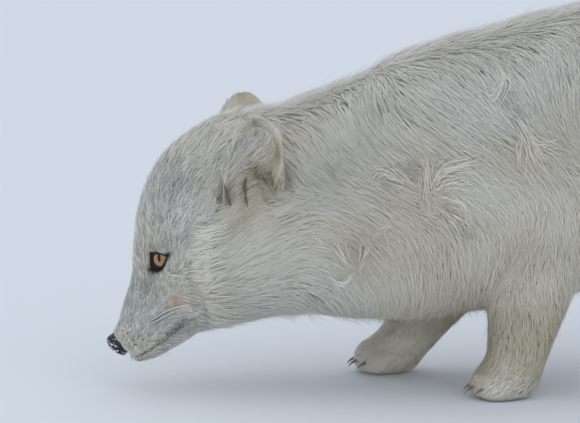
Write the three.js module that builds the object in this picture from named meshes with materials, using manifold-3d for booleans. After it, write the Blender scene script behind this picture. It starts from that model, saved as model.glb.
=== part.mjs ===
// An arctic fox in full winter coat, life size, standing with its head lowered and its nose just above the ground.
// The solids reach out to the tips of the coat. Units are millimetres, +Z is up, the fox faces -X and its left
// side is on -Y. While it is made, x is counted from the nose and the floor is z = 0; the last step moves the
// whole group so that the bottom centre of its bounding box is the origin.
import * as THREE from "three";
import { mergeVertices } from "three/addons/utils/BufferGeometryUtils.js";
import Module from "manifold-3d";

const wasm = await Module();
wasm.setup();

// ---------------------------------------------------------------- driving dimensions

const GAP = 0.3; // between neighbouring pieces
const LEFT = -1; // sign of y
const RIGHT = 1;

// Head, neck and trunk as slices from the upper outline to the lower one, each point as [x, z]. `half` is half the
// width, and `widest` is how far down the slice that width lies, from 0 at the top to 1 at the bottom.
const BODY_STATIONS = {
  muzzle_tip: { top: [2.4, 33.5], bottom: [9.5, 21.5], half: 7.5, widest: 0.55 },
  muzzle_front: { top: [4.6, 40], bottom: [17, 18.6], half: 12, widest: 0.6 },
  muzzle_lips: { top: [6.5, 50], bottom: [28, 20.6], half: 14.8, widest: 0.62 },
  muzzle_middle: { top: [9.5, 60.5], bottom: [38, 26], half: 16.8, widest: 0.62 },
  muzzle_root: { top: [13, 70], bottom: [49, 32], half: 19.5, widest: 0.62 },
  stop: { top: [14.4, 79], bottom: [60, 37], half: 24, widest: 0.62 },
  brow: { top: [13.7, 91], bottom: [72, 40], half: 32.5, widest: 0.61 },
  forehead: { top: [15, 106], bottom: [86, 43.5], half: 42.5, widest: 0.6 },
  temple: { top: [19.5, 126], bottom: [100, 47.5], half: 52, widest: 0.61 },
  crown: { top: [30, 149], bottom: [115, 49], half: 57, widest: 0.62 },
  poll: { top: [48, 166], bottom: [131, 48.5], half: 60, widest: 0.63 },
  occiput: { top: [76, 181.5], bottom: [148, 46.5], half: 63, widest: 0.63 },
  nape: { top: [109, 187.5], bottom: [166, 44.5], half: 67, widest: 0.6 },
  neck: { top: [140, 196.5], bottom: [184, 43.5], half: 72, widest: 0.56 },
  shoulder: { top: [182, 218], bottom: [208, 44], half: 79, widest: 0.54 },
  withers: { top: [240, 233.5], bottom: [246, 51], half: 85, widest: 0.54 },
  chest: { top: [300, 248], bottom: [298, 60], half: 88, widest: 0.54 },
  back: { top: [350, 258], bottom: [345, 68], half: 88, widest: 0.54 },
  loin: { top: [400, 259], bottom: [393, 77], half: 85, widest: 0.53 },
  rump: { top: [445, 250], bottom: [439, 90], half: 79, widest: 0.51 },
  croup: { top: [480, 233], bottom: [475, 110], half: 67, widest: 0.5 },
  buttock: { top: [503, 208], bottom: [499, 142], half: 43, widest: 0.5 },
};
const BODY_RINGS_PER_STATION = 2;
const BODY_SEGMENTS = 26;
const BODY_SQUARENESS = 2.15; // 2 is an ellipse, more is boxier

// Planes that part the body, each through `at` [x, z] and turned by `lean` degrees about Y from upright.
const BODY_CUTS = {
  head_neck: { at: [94, 115], lean: -14 },
  neck_chest: { at: [190, 130], lean: -15 },
  chest_loin: { at: [330, 150], lean: 0 },
  loin_rump: { at: [412, 150], lean: 0 },
};
const MOUTH = { front: [17, 20.5], corner: [49, 46.5], jaw_end: 58 };

const NOSE = { at: [5.2, 29.2], long: 8.2, deep: 7.4, half: 8.8, pitch: 52 };
const NOSTRIL = { out: 4.6, ahead: 5.8, up: 0.2, radius: 1.9, stretch: 1.5 };
const EYE = { at: [33.8, 21.4, 88.7], radius: 7.6 };
const LIDS = { ahead: [-4.9, 6.1, -2.8], radius: 5.6 }; // the opening between the lids, from the middle of the eye
const EAR = {
  base: [80, 51, 114],
  tip: [93.5, 60.5, 183.5],
  width: 37,
  cup: 0.66, // depth of the cup as a share of its half width
  wall: 4.4,
  rings: 10,
  segments: 8,
};

// Legs as slices down the limb: the middle of each slice, half its length along the body and half its width.
const FORELEG = {
  left: [
    { at: [276, 43, 128], deep: 36, side: 27 },
    { at: [270, 44, 92], deep: 31.5, side: 25 },
    { at: [263, 45, 64], deep: 27, side: 22.5 },
    { at: [258, 45, 40], deep: 22.5, side: 20 },
    { at: [254, 45, 22], deep: 19.5, side: 18.5 },
    { at: [251, 45, 8], deep: 16, side: 16 },
  ],
  right: [
    { at: [262, 43, 128], deep: 36, side: 27 },
    { at: [246, 44, 92], deep: 31.5, side: 25 },
    { at: [225, 45, 62], deep: 25.5, side: 22.5 },
    { at: [206, 46, 38], deep: 20.5, side: 20 },
    { at: [193, 46, 21], deep: 18.5, side: 18.5 },
    { at: [186, 46, 8], deep: 16, side: 16 },
  ],
};
const HINDLEG = {
  left: [
    { at: [455, 42, 178], deep: 52, side: 30 },
    { at: [434, 46, 128], deep: 45, side: 30 },
    { at: [439, 47, 96], deep: 33, side: 25 },
    { at: [456, 46, 68], deep: 22, side: 18.5 },
    { at: [459, 45, 46], deep: 17.5, side: 16 },
    { at: [452, 45, 25], deep: 16.5, side: 16 },
    { at: [445, 45, 8], deep: 15, side: 15.5 },
  ],
  right: [
    { at: [466, 42, 178], deep: 50, side: 30 },
    { at: [460, 46, 128], deep: 43, side: 30 },
    { at: [476, 47, 96], deep: 32, side: 25 },
    { at: [499, 46, 70], deep: 22, side: 18.5 },
    { at: [505, 45, 48], deep: 17.5, side: 16 },
    { at: [500, 45, 26], deep: 16.5, side: 16 },
    { at: [493, 45, 8], deep: 15, side: 15.5 },
  ],
};
const LEG_SEGMENTS = 12;
const LEG_RINGS_PER_STATION = 2;

const PAW = {
  fore: { half_length: 24, half: 18.5, height: 24, toe: 9, reach: 9.5, ankle: 27 },
  hind: { half_length: 25, half: 17, height: 22, toe: 8.4, reach: 11, ankle: 27 },
};
const TOE_SPREAD = [-0.68, -0.25, 0.25, 0.68]; // across the paw, as a share of its half width
const TOE_LEAD = [-3.5, 1.5, 1.5, -3.5]; // how far each toe stands ahead of the row

const TAIL = [
  { at: [478, 0, 206], deep: 24, side: 24 },
  { at: [512, 0, 193], deep: 30, side: 30 },
  { at: [562, 2, 162], deep: 37, side: 38 },
  { at: [620, 6, 130], deep: 42, side: 43 },
  { at: [680, 11, 104], deep: 42, side: 43 },
  { at: [734, 16, 90], deep: 38, side: 38 },
  { at: [768, 19, 83], deep: 29, side: 29 },
  { at: [790, 21, 81], deep: 18, side: 18 },
  { at: [800, 22, 81], deep: 5, side: 5 },
];
const TAIL_SEGMENTS = 14;
const TAIL_CUTS = [
  { at: [590, 146], lean: 28 },
  { at: [694, 99], lean: 18 },
];

const FINISH = {
  coat: { color: 0xd6d7cf, roughness: 0.95 },
  ear: { color: 0xbfbba8, roughness: 0.95 },
  paw: { color: 0xc9c3b0, roughness: 0.95 },
  nose: { color: 0x1b1a1a, roughness: 0.5 },
  eye: { color: 0xb2723a, roughness: 0.12 },
};

// ---------------------------------------------------------------- solids and geometry

// A closed geometry as a solid that can be joined and cut.
function solidOf(geometry) {
  const bare = geometry.clone();
  bare.deleteAttribute("normal");
  bare.deleteAttribute("uv");
  const merged = mergeVertices(bare, 1e-4);
  return new wasm.Manifold(
    new wasm.Mesh({
      numProp: 3,
      vertProperties: merged.attributes.position.array,
      triVerts: new Uint32Array(merged.index.array),
    }),
  );
}

// A solid as a geometry with flat faces.
function geometryOf(solid) {
  const { numProp, numVert, vertProperties, triVerts } = solid.getMesh();
  const places = new Float32Array(numVert * 3);
  for (let i = 0; i < numVert; i++)
    places.set(vertProperties.subarray(i * numProp, i * numProp + 3), i * 3);
  const geometry = new THREE.BufferGeometry();
  geometry.setAttribute("position", new THREE.BufferAttribute(places, 3));
  geometry.setIndex(new THREE.BufferAttribute(triVerts, 1));
  geometry.computeVertexNormals();
  return geometry;
}

// Joins rings of equal length, listed from one end to the other, into a closed solid. Each end closes on a point.
function loft(rings) {
  const count = rings[0].length;
  const last = rings.length - 1;
  const middle = (ring) =>
    ring.reduce((sum, p) => sum.add(p), new THREE.Vector3()).divideScalar(ring.length);
  const points = [...rings.flat(), middle(rings[0]), middle(rings[last])];
  const faces = [];
  for (let r = 0; r < last; r++)
    for (let i = 0; i < count; i++) {
      const a = r * count + i;
      const b = r * count + ((i + 1) % count);
      faces.push(a, b, b + count, a, b + count, a + count);
    }
  for (let i = 0; i < count; i++) {
    const j = (i + 1) % count;
    faces.push(points.length - 2, j, i);
    faces.push(points.length - 1, last * count + i, last * count + j);
  }
  const geometry = new THREE.BufferGeometry().setFromPoints(points);
  geometry.setIndex(faces);
  const solid = solidOf(geometry);
  if (solid.volume() > 0) return solid;
  for (let i = 0; i < faces.length; i += 3)
    [faces[i + 1], faces[i + 2]] = [faces[i + 2], faces[i + 1]];
  geometry.setIndex(faces);
  return solidOf(geometry);
}

const joined = (...solids) => solids.reduce((whole, solid) => whole.add(solid));

// The half of space behind a plane that passes through `at` [x, z] and faces +X, leaned about Y.
function behind({ at: [x, z], lean }, shift = 0) {
  const size = 2000;
  const box = new THREE.BoxGeometry(size, size, size);
  box.translate(size / 2 + shift, 0, 0);
  box.rotateY(THREE.MathUtils.degToRad(lean));
  box.translate(x, 0, z);
  return solidOf(box);
}

// Parts a solid by a plane into the piece ahead of it and the piece behind it, a gap apart.
function parted(solid, plane) {
  return [
    solid.subtract(behind(plane, -GAP / 2)),
    solid.intersect(behind(plane, GAP / 2)),
  ];
}

// An ellipsoid with half axes along x, y and z, pitched about Y and then moved to its place.
function ellipsoid([rx, ry, rz], [x, y, z], pitch = 0, segments = 12) {
  const ball = new THREE.SphereGeometry(1, segments, Math.round(segments * 0.6));
  ball.scale(rx, ry, rz);
  ball.rotateY(THREE.MathUtils.degToRad(pitch));
  ball.translate(x, y, z);
  return solidOf(ball);
}

// ---------------------------------------------------------------- head, neck and trunk

// The outline as one long loft. `grow` widens it all round, for the room that its neighbours leave.
function bodyLoft(grow = 0) {
  const stations = Object.values(BODY_STATIONS);
  const line = (pick) => new THREE.SplineCurve(stations.map((s) => new THREE.Vector2(...pick(s))));
  const tops = line((s) => s.top);
  const bottoms = line((s) => s.bottom);
  const widths = line((s) => [s.half, s.widest]);
  const count = (stations.length - 1) * BODY_RINGS_PER_STATION;
  const rings = [];
  for (let r = 0; r <= count; r++) {
    const top = tops.getPoint(r / count);
    const bottom = bottoms.getPoint(r / count);
    const [half, widest] = widths.getPoint(r / count).toArray();
    const down = bottom.clone().sub(top);
    const depth = down.length();
    down.normalize();
    const ring = [];
    for (let i = 0; i < BODY_SEGMENTS; i++) {
      const turn = (i / BODY_SEGMENTS) * 2 * Math.PI;
      const share = (1 - Math.cos(turn)) / 2 + (widest - 0.5) * Math.sin(turn) ** 2;
      const reach = (depth + 2 * grow) * share - grow;
      const across =
        (half + grow) *
        Math.sign(Math.sin(turn)) *
        Math.pow(Math.abs(Math.sin(turn)), 2 / BODY_SQUARENESS);
      ring.push(new THREE.Vector3(top.x + down.x * reach, across, top.y + down.y * reach));
    }
    rings.push(ring);
  }
  return loft(rings);
}

// The lower jaw's share of the head: under the line of the mouth and ahead of the throat.
function jawRegion() {
  const [fx, fz] = MOUTH.front;
  const [cx, cz] = MOUTH.corner;
  const slope = THREE.MathUtils.radToDeg(Math.atan2(cz - fz, cx - fx));
  const underMouth = behind({ at: MOUTH.front, lean: 90 - slope });
  const throat = behind({ at: [MOUTH.jaw_end, cz], lean: -slope });
  return underMouth.subtract(throat);
}

// ---------------------------------------------------------------- eyes, ears and nose

const eyeBall = (side, grow = 0) => {
  const [x, y, z] = EYE.at;
  const radius = EYE.radius + grow;
  return ellipsoid([radius, radius, radius], [x, side * y, z]);
};

// The room between the lids, a ball that reaches from the eye out through the side of the head.
const lidOpening = (side) => {
  const [x, y, z] = EYE.at;
  const [dx, dy, dz] = LIDS.ahead;
  return ellipsoid([LIDS.radius, LIDS.radius, LIDS.radius], [x + dx, side * (y + dy), z + dz], 0, 8);
};

// The pad of the nose with the two nostrils sunk into it.
function nose(grow = 0) {
  const [x, z] = NOSE.at;
  const radii = [NOSE.long, NOSE.half, NOSE.deep].map((r) => r + grow);
  const pad = ellipsoid(radii, [x, 0, z], -NOSE.pitch);
  if (grow) return pad;
  const pitch = THREE.MathUtils.degToRad(NOSE.pitch);
  const { out, ahead, up, radius, stretch } = NOSTRIL;
  const hole = (side) =>
    ellipsoid(
      [radius * stretch, radius, radius],
      [
        x - ahead * Math.cos(pitch) - up * Math.sin(pitch),
        side * out,
        z - ahead * Math.sin(pitch) + up * Math.cos(pitch),
      ],
      -NOSE.pitch,
      6,
    );
  return pad.subtract(joined(hole(LEFT), hole(RIGHT)));
}

// Half the ear's width at a height from 0 at its root to 1 at its rounded tip.
function earHalfWidth(height) {
  const widestAt = 0.45;
  const rootShare = 0.7;
  if (height > widestAt)
    return (EAR.width / 2) * Math.sqrt(Math.max(0.02, 1 - ((height - widestAt) / (1 - widestAt)) ** 2));
  return (EAR.width / 2) * (rootShare + (1 - rootShare) * Math.sin((height / widestAt) * (Math.PI / 2)));
}

// A cupped ear that opens outwards: a stack of crescents, each with an outer arc and an inner arc.
function ear(side) {
  const base = new THREE.Vector3(EAR.base[0], side * EAR.base[1], EAR.base[2]);
  const tip = new THREE.Vector3(EAR.tip[0], side * EAR.tip[1], EAR.tip[2]);
  const up = tip.clone().sub(base);
  const outward = new THREE.Vector3(-0.12, side, 0);
  outward.addScaledVector(up, -outward.dot(up) / up.lengthSq()).normalize();
  const along = new THREE.Vector3().crossVectors(up, outward).normalize();
  const rings = [];
  for (let r = 0; r <= EAR.rings; r++) {
    const height = r / EAR.rings;
    const half = earHalfWidth(height);
    const middle = base.clone().addScaledVector(up, height);
    const arc = (inset) =>
      Array.from({ length: EAR.segments }, (_, i) => {
        const turn = (i / (EAR.segments - 1) - 0.5) * Math.PI;
        const reach = Math.max(half - inset, half * 0.35);
        return middle
          .clone()
          .addScaledVector(along, reach * Math.sin(turn))
          .addScaledVector(outward, -reach * EAR.cup * Math.cos(turn));
      });
    rings.push([...arc(0), ...arc(EAR.wall * (1 - 0.45 * height)).reverse()]);
  }
  return loft(rings);
}

// ---------------------------------------------------------------- legs, paws and tail

// A limb or tail: slices square to a smooth line through its stations, which lie on the given side of the body.
function limb(stations, side, segments, ringsPerStation) {
  const line = new THREE.CatmullRomCurve3(
    stations.map(({ at: [x, y, z] }) => new THREE.Vector3(x, side * y, z)),
  );
  const sizes = new THREE.SplineCurve(stations.map((s) => new THREE.Vector2(s.deep, s.side)));
  const count = (stations.length - 1) * ringsPerStation;
  const rings = [];
  for (let r = 0; r <= count; r++) {
    const along = line.getTangent(r / count);
    const across = new THREE.Vector3(0, 1, 0).addScaledVector(along, -along.y).normalize();
    const deep = new THREE.Vector3().crossVectors(along, across);
    const size = sizes.getPoint(r / count);
    rings.push(
      Array.from({ length: segments }, (_, i) => {
        const turn = (i / segments) * 2 * Math.PI;
        return line
          .getPoint(r / count)
          .addScaledVector(deep, size.x * Math.cos(turn))
          .addScaledVector(across, size.y * Math.sin(turn));
      }),
    );
  }
  return loft(rings);
}

// A furred paw under the end of a leg: a low pad with four toes ahead of it.
function paw(stations, side, shape) {
  const [footX, footY] = stations.at(-1).at;
  const centre = footX - shape.reach * 0.35;
  const pad = ellipsoid(
    [shape.half_length, shape.half, shape.height * 0.62],
    [centre, side * footY, shape.height * 0.42],
  );
  const toes = TOE_SPREAD.map((spread, i) =>
    ellipsoid(
      [shape.toe * 1.35, shape.toe, shape.toe],
      [centre - shape.reach - TOE_LEAD[i], side * footY + spread * shape.half, shape.toe * 0.82],
      -8,
      7,
    ),
  );
  return joined(pad, ...toes);
}

// A leg with its paw, standing on the floor, parted at the ankle into [leg, paw].
function leg(stations, side, shape, body) {
  const whole = joined(
    limb(stations, side, LEG_SEGMENTS, LEG_RINGS_PER_STATION),
    paw(stations, side, shape),
  );
  const floor = behind({ at: [0, 0], lean: 90 });
  const standing = whole.subtract(floor).subtract(body);
  return [
    standing.subtract(behind({ at: [0, shape.ankle + GAP / 2], lean: 90 })),
    standing.intersect(behind({ at: [0, shape.ankle - GAP / 2], lean: 90 })),
  ];
}

// ---------------------------------------------------------------- the whole animal

const fox = new THREE.Group();

function add(name, solid, finish) {
  const material = new THREE.MeshStandardMaterial({ ...FINISH[finish], metalness: 0, flatShading: true });
  const mesh = new THREE.Mesh(geometryOf(solid), material);
  mesh.name = name;
  fox.add(mesh);
}

function addHeadNeckAndTrunk() {
  const [head, rest] = parted(bodyLoft(), BODY_CUTS.head_neck);
  const [neck, trunk] = parted(rest, BODY_CUTS.neck_chest);
  const [chest, hindPart] = parted(trunk, BODY_CUTS.chest_loin);
  const [loin, rump] = parted(hindPart, BODY_CUTS.loin_rump);
  const sockets = joined(
    ...[LEFT, RIGHT].flatMap((side) => [eyeBall(side, GAP), lidOpening(side)]),
    nose(GAP),
  );
  const hollowed = head.subtract(sockets);
  const jaw = jawRegion();
  add("head", hollowed.subtract(jaw), "coat");
  add("jaw", hollowed.intersect(jaw), "coat");
  add("neck", neck, "coat");
  add("chest", chest, "coat");
  add("loin", loin, "coat");
  add("rump", rump, "coat");
}

function addSenses(body) {
  add("nose", nose(), "nose");
  for (const [name, side] of [["left", LEFT], ["right", RIGHT]]) {
    add("eye_" + name, eyeBall(side), "eye");
    add("ear_" + name, ear(side).subtract(body), "ear");
  }
}

function addLegs(body) {
  for (const [name, side] of [["left", LEFT], ["right", RIGHT]]) {
    const [foreleg, forepaw] = leg(FORELEG[name], side, PAW.fore, body);
    const [hindleg, hindpaw] = leg(HINDLEG[name], side, PAW.hind, body);
    add("foreleg_" + name, foreleg, "coat");
    add("forepaw_" + name, forepaw, "paw");
    add("hindleg_" + name, hindleg, "coat");
    add("hindpaw_" + name, hindpaw, "paw");
  }
}

function addTail(body) {
  const tail = limb(TAIL, RIGHT, TAIL_SEGMENTS, LEG_RINGS_PER_STATION).subtract(body);
  const [base, rest] = parted(tail, TAIL_CUTS[0]);
  const [middle, tip] = parted(rest, TAIL_CUTS[1]);
  add("tail_base", base, "coat");
  add("tail_middle", middle, "coat");
  add("tail_tip", tip, "coat");
}

const body = bodyLoft(GAP);
addHeadNeckAndTrunk();
addSenses(body);
addLegs(body);
addTail(body);

const box = new THREE.Box3().setFromObject(fox);
const middle = box.getCenter(new THREE.Vector3());
fox.position.set(-middle.x, -middle.y, -box.min.z);

export default fox;
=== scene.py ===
"""A life-size arctic fox in winter coat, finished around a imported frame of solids.

The frame holds the fox out to the tips of its coat. Here its flesh becomes one skin that lies inside those
solids by the depth of the coat, and the coat is laid over the skin as solid tufts that follow the lie of the
hair. Eyes, nose pad, whiskers and claws are pieces of their own.
"""

from __future__ import annotations

import logging
import math
from dataclasses import dataclass, field
from enum import Enum

import bpy
import numpy as np
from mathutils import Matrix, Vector
from mathutils.bvhtree import BVHTree
from mathutils.kdtree import KDTree

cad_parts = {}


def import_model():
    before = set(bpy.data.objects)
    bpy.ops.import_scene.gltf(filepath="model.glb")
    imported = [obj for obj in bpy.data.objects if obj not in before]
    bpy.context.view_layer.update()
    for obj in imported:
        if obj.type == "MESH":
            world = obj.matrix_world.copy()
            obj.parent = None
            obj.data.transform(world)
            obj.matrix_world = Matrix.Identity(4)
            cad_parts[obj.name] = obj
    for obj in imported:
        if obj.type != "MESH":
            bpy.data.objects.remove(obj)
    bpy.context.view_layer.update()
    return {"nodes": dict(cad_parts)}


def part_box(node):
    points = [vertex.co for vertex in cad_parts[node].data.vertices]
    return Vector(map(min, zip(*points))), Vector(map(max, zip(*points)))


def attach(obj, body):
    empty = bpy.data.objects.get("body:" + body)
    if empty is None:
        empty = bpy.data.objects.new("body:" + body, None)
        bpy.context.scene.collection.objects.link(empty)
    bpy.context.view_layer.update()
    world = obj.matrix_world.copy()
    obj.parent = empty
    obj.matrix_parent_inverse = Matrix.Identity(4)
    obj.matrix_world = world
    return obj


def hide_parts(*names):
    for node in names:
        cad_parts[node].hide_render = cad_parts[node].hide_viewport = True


log = logging.getLogger("arctic_fox")

Array = np.ndarray
Pair = tuple[float, float]
Triple = tuple[float, float, float]
ORIGIN: Triple = (0.0, 0.0, 0.0)

MM = 0.001

# The map that colours are baked by, and the side of a tuft's patch on it.
BAKE_MAP = "OFBake"
PATCH = 0.003


class Side(Enum):
    """The two sides of the fox, by the sign of Y."""

    LEFT = -1
    RIGHT = 1

    @property
    def word(self) -> str:
        """The side's name in a piece's name."""
        return self.name.lower()


# ------------------------------------------------------------ small helpers


def smoothstep(low: float, high: float, value: Array) -> Array:
    """Rise smoothly from 0 at low to 1 at high.

    Args:
        low: Where the rise starts. It may be above high, and the step then falls.
        high: Where the rise ends.
        value: The values to step.

    Returns:
        Values from 0 to 1.
    """
    share = np.clip((value - low) / (high - low), 0.0, 1.0)
    return share * share * (3.0 - 2.0 * share)


def unit(vectors: Array) -> Array:
    """Scale vectors along the last axis to length 1."""
    length = np.linalg.norm(vectors, axis=-1, keepdims=True)
    return vectors / np.maximum(length, 1e-12)


def deselect() -> None:
    """Leave edit mode and deselect every object."""
    if bpy.context.object is not None and bpy.context.object.mode != "OBJECT":
        bpy.ops.object.mode_set(mode="OBJECT")
    bpy.ops.object.select_all(action="DESELECT")


def pick(piece: bpy.types.Object) -> None:
    """Make one object the only selected one and the active one.

    Args:
        piece: The object.
    """
    deselect()
    piece.select_set(True)
    bpy.context.view_layer.objects.active = piece


def copy_solid(solid: bpy.types.Object) -> bpy.types.Object:
    """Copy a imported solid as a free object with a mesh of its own.

    Args:
        solid: The solid, which is left as it is.

    Returns:
        The copy, linked to the scene.
    """
    copy = solid.copy()
    copy.data = solid.data.copy()
    copy.parent = None
    for key in list(copy.keys()):
        del copy[key]
    bpy.context.scene.collection.objects.link(copy)
    return copy


def merge_doubles(piece: bpy.types.Object) -> None:
    """Close a mesh of loose triangles.

    Args:
        piece: The mesh object to change.
    """
    pick(piece)
    bpy.ops.object.mode_set(mode="EDIT")
    bpy.ops.mesh.select_all(action="SELECT")
    bpy.ops.mesh.remove_doubles(threshold=0.01 * MM)
    bpy.ops.object.mode_set(mode="OBJECT")


def apply_modifier(piece: bpy.types.Object, kind: str, **settings: object) -> None:
    """Add a modifier to a piece, set it and apply it.

    Args:
        piece: The mesh object to change.
        kind: The modifier's type.
        settings: The modifier's own settings.
    """
    pick(piece)
    modifier = piece.modifiers.new(kind.title(), kind)
    for name, value in settings.items():
        setattr(modifier, name, value)
    bpy.ops.object.modifier_apply(modifier=modifier.name)


def read(items: bpy.types.bpy_prop_collection, what: str, width: int, kind: type = np.float32) -> Array:
    """Read one property of all of a mesh's vertices, edges or faces.

    Args:
        items: The vertices, edges or faces.
        what: The property's name.
        width: How many numbers each of them has.
        kind: The numbers' type.

    Returns:
        A row of numbers for each of them.
    """
    found = np.empty((len(items), width), kind)
    items.foreach_get(what, found.ravel())
    return found


def select_faces(piece: bpy.types.Object, chosen: Array) -> None:
    """Enter edit mode with only the chosen faces selected.

    Args:
        piece: The mesh object to edit.
        chosen: True for each face to select.
    """
    pick(piece)
    mesh = piece.data
    corners = read(mesh.loops, "vertex_index", 1, np.int32)
    sizes = read(mesh.polygons, "loop_total", 1, np.int32)
    held = np.zeros(len(mesh.vertices), bool)
    held[corners[np.repeat(chosen, sizes[:, 0]), 0]] = True
    mesh.polygons.foreach_set("select", chosen)
    mesh.vertices.foreach_set("select", held)
    mesh.edges.foreach_set("select", held[edge_ends(mesh)].all(1))
    bpy.context.scene.tool_settings.mesh_select_mode = (False, False, True)
    bpy.ops.object.mode_set(mode="EDIT")


def middles(mesh: bpy.types.Mesh) -> Array:
    """The middle of each face."""
    return read(mesh.polygons, "center", 3).astype(np.float64)


def places(mesh: bpy.types.Mesh) -> Array:
    """The mesh's vertices as rows of x, y and z."""
    return read(mesh.vertices, "co", 3).astype(np.float64)


def move_to(mesh: bpy.types.Mesh, xyz: Array) -> None:
    """Put the mesh's vertices at these places."""
    mesh.vertices.foreach_set("co", xyz.astype(np.float32).ravel())
    mesh.update()


def normals(mesh: bpy.types.Mesh) -> Array:
    """The normal at each vertex."""
    return read(mesh.vertices, "normal", 3).astype(np.float64)


def edge_ends(mesh: bpy.types.Mesh) -> Array:
    """The two vertices of each edge."""
    return read(mesh.edges, "vertices", 2, np.int32)


def face_tree(mesh: bpy.types.Mesh) -> BVHTree:
    """Plant a mesh's faces in a tree for nearest places."""
    faces = [tuple(face.vertices) for face in mesh.polygons]
    return BVHTree.FromPolygons([vertex.co.copy() for vertex in mesh.vertices], faces)


def point_tree(xyz: Array) -> KDTree:
    """Plant places in a tree for the nearest one.

    Args:
        xyz: The places.

    Returns:
        The tree, which numbers the places in their order.
    """
    tree = KDTree(len(xyz))
    for number, place in enumerate(xyz.tolist()):
        tree.insert(place, number)
    tree.balance()
    return tree


def nearest_in(tree: KDTree, xyz: Array) -> Array:
    """The number of the tree's point that is nearest to each place."""
    return np.fromiter((tree.find(place)[1] for place in xyz.tolist()), np.int32, len(xyz))


def spread(values: Array, ends: Array, rounds: int, share: Array | float = 0.5) -> Array:
    """Smooth values over a mesh by pulling each vertex towards the mean of its neighbours.

    Args:
        values: One row or number for each vertex.
        ends: The two vertices of each edge.
        rounds: How often to smooth.
        share: How far each vertex moves in a round, from 0 to 1.

    Returns:
        The smoothed values.
    """
    flat = values.reshape(len(values), -1).astype(np.float64)
    count = np.maximum(np.bincount(ends.ravel(), minlength=len(flat)), 1)[:, None]
    keep = np.asarray(share, np.float64).reshape(-1, 1)
    a, b = ends[:, 0], ends[:, 1]
    for _ in range(rounds):
        mean = np.empty_like(flat)
        for column in range(flat.shape[1]):
            line = flat[:, column]
            mean[:, column] = np.bincount(a, line[b], len(flat)) + np.bincount(b, line[a], len(flat))
        flat = flat + keep * (mean / count - flat)
    return flat.reshape(values.shape)


def mesh_of(name: str, xyz: Array, triangles: Array) -> bpy.types.Object:
    """Make a smooth-shaded triangle mesh object from arrays.

    Args:
        name: The object's name.
        xyz: The vertices.
        triangles: Three vertex numbers for each face, turned outwards.

    Returns:
        The new object, linked to the scene.
    """
    mesh = bpy.data.meshes.new(name)
    mesh.vertices.add(len(xyz))
    mesh.vertices.foreach_set("co", xyz.astype(np.float32).ravel())
    mesh.loops.add(triangles.size)
    mesh.loops.foreach_set("vertex_index", triangles.astype(np.int32).ravel())
    mesh.polygons.add(len(triangles))
    mesh.polygons.foreach_set("loop_start", np.arange(0, triangles.size, 3, dtype=np.int32))
    mesh.polygons.foreach_set("use_smooth", np.ones(len(triangles), bool))
    mesh.update(calc_edges=True)
    piece = bpy.data.objects.new(name, mesh)
    bpy.context.scene.collection.objects.link(piece)
    return piece


def write_attribute(mesh: bpy.types.Mesh, name: str, values: Array) -> None:
    """Store one number for each vertex under a name that materials read."""
    made = mesh.attributes.new(name, "FLOAT", "POINT")
    made.data.foreach_set("value", values.astype(np.float32))


# The front of the cheek's ruff seen from the side, from below upwards.
RUFF_LINE = ((61, 53), (59, 62), (55, 70), (50, 78), (47.5, 84), (48.5, 98), (50.5, 112), (56, 122))

# The line of the mouth seen from the side, from below the nose to the corner of the lips.
MOUTH_LINE = ((17, 22), (27, 28), (38, 37), (51, 48))

# How far aside places still belong to the mouth.
MOUTH_HALF = 30.0

# The top of the muzzle behind the nose pad, and the front of the lips, behind the nose tip and up.
MUZZLE_TOP, LIP_FRONT = (12.0, 40.0), (8.0, 30.0)

# Where the fur ends at the nose pad seen from the side: a place on that edge and the way out of it.
NOSE_EDGE, NOSE_EDGE_OUT = (3.4, 35.6), (-0.695, -0.72)


def nose_front(behind: Array, aside: Array, up: Array) -> Array:
    """How far places near the nose pad lie in front of the edge of the fur, in millimetres, or 0."""
    ahead = (behind - NOSE_EDGE[0]) * NOSE_EDGE_OUT[0] + (up - NOSE_EDGE[1]) * NOSE_EDGE_OUT[1]
    return np.maximum(ahead, 0.0) * smoothstep(10.5, 8.5, np.abs(aside)) * smoothstep(20.5, 22.5, up)


def line_distance(points: Array, line: tuple[tuple[float, ...], ...]) -> tuple[Array, Array]:
    """Measure how far points lie from a broken line.

    Args:
        points: One point in each row.
        line: The corners of the line, with as many numbers as a point has.

    Returns:
        The distance of each point, and how far along the line its nearest place is, from 0 to 1.
    """
    corners = np.array(line, float)
    best = np.full(len(points), np.inf)
    where = np.zeros(len(points))
    for number, (start, end) in enumerate(zip(corners[:-1], corners[1:])):
        span = end - start
        share = np.clip((points - start) @ span / (span @ span), 0.0, 1.0)
        away = np.linalg.norm(points - start - share[:, None] * span, axis=1)
        closer = away < best
        best = np.where(closer, away, best)
        where = np.where(closer, (number + share) / (len(corners) - 1), where)
    return best, where


def smooth_curve(before: Array, start: Array, end: Array, after: Array, t: Array) -> Array:
    """Find places on a Catmull-Rom curve.

    Args:
        before: The knot before each stretch.
        start: The knot where it starts.
        end: The knot where it ends.
        after: The knot after it.
        t: How far along the stretch each place is, from 0 to 1.

    Returns:
        The places.
    """
    bend = 2 * before - 5 * start + 4 * end - after
    twist = 3 * start - before - 3 * end + after
    return 0.5 * (2 * start + (end - before) * t + bend * t**2 + twist * t**3)


@dataclass(frozen=True)
class Waves:
    """Smooth noise made of a few plane waves with seeded directions.

    Attributes:
        length: The mean wavelength.
        seed: The seed of the directions and phases.
        count: How many waves are added.
    """

    length: float
    seed: int
    count: int = 9

    def at(self, xyz: Array) -> Array:
        """Return the noise at each place, mostly between -1 and 1.

        Args:
            xyz: The places, in metres.

        Returns:
            One value for each place.
        """
        draw = np.random.default_rng(self.seed)
        turns = unit(draw.normal(size=(self.count, 3)))
        pace = 2.0 * math.pi / (self.length * draw.uniform(0.6, 1.6, self.count))
        phase = draw.uniform(0.0, 2.0 * math.pi, self.count)
        return np.sin(xyz @ (turns * pace[:, None]).T + phase).sum(1) / math.sqrt(self.count * 0.8)


# ------------------------------------------------------------ the frame


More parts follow.
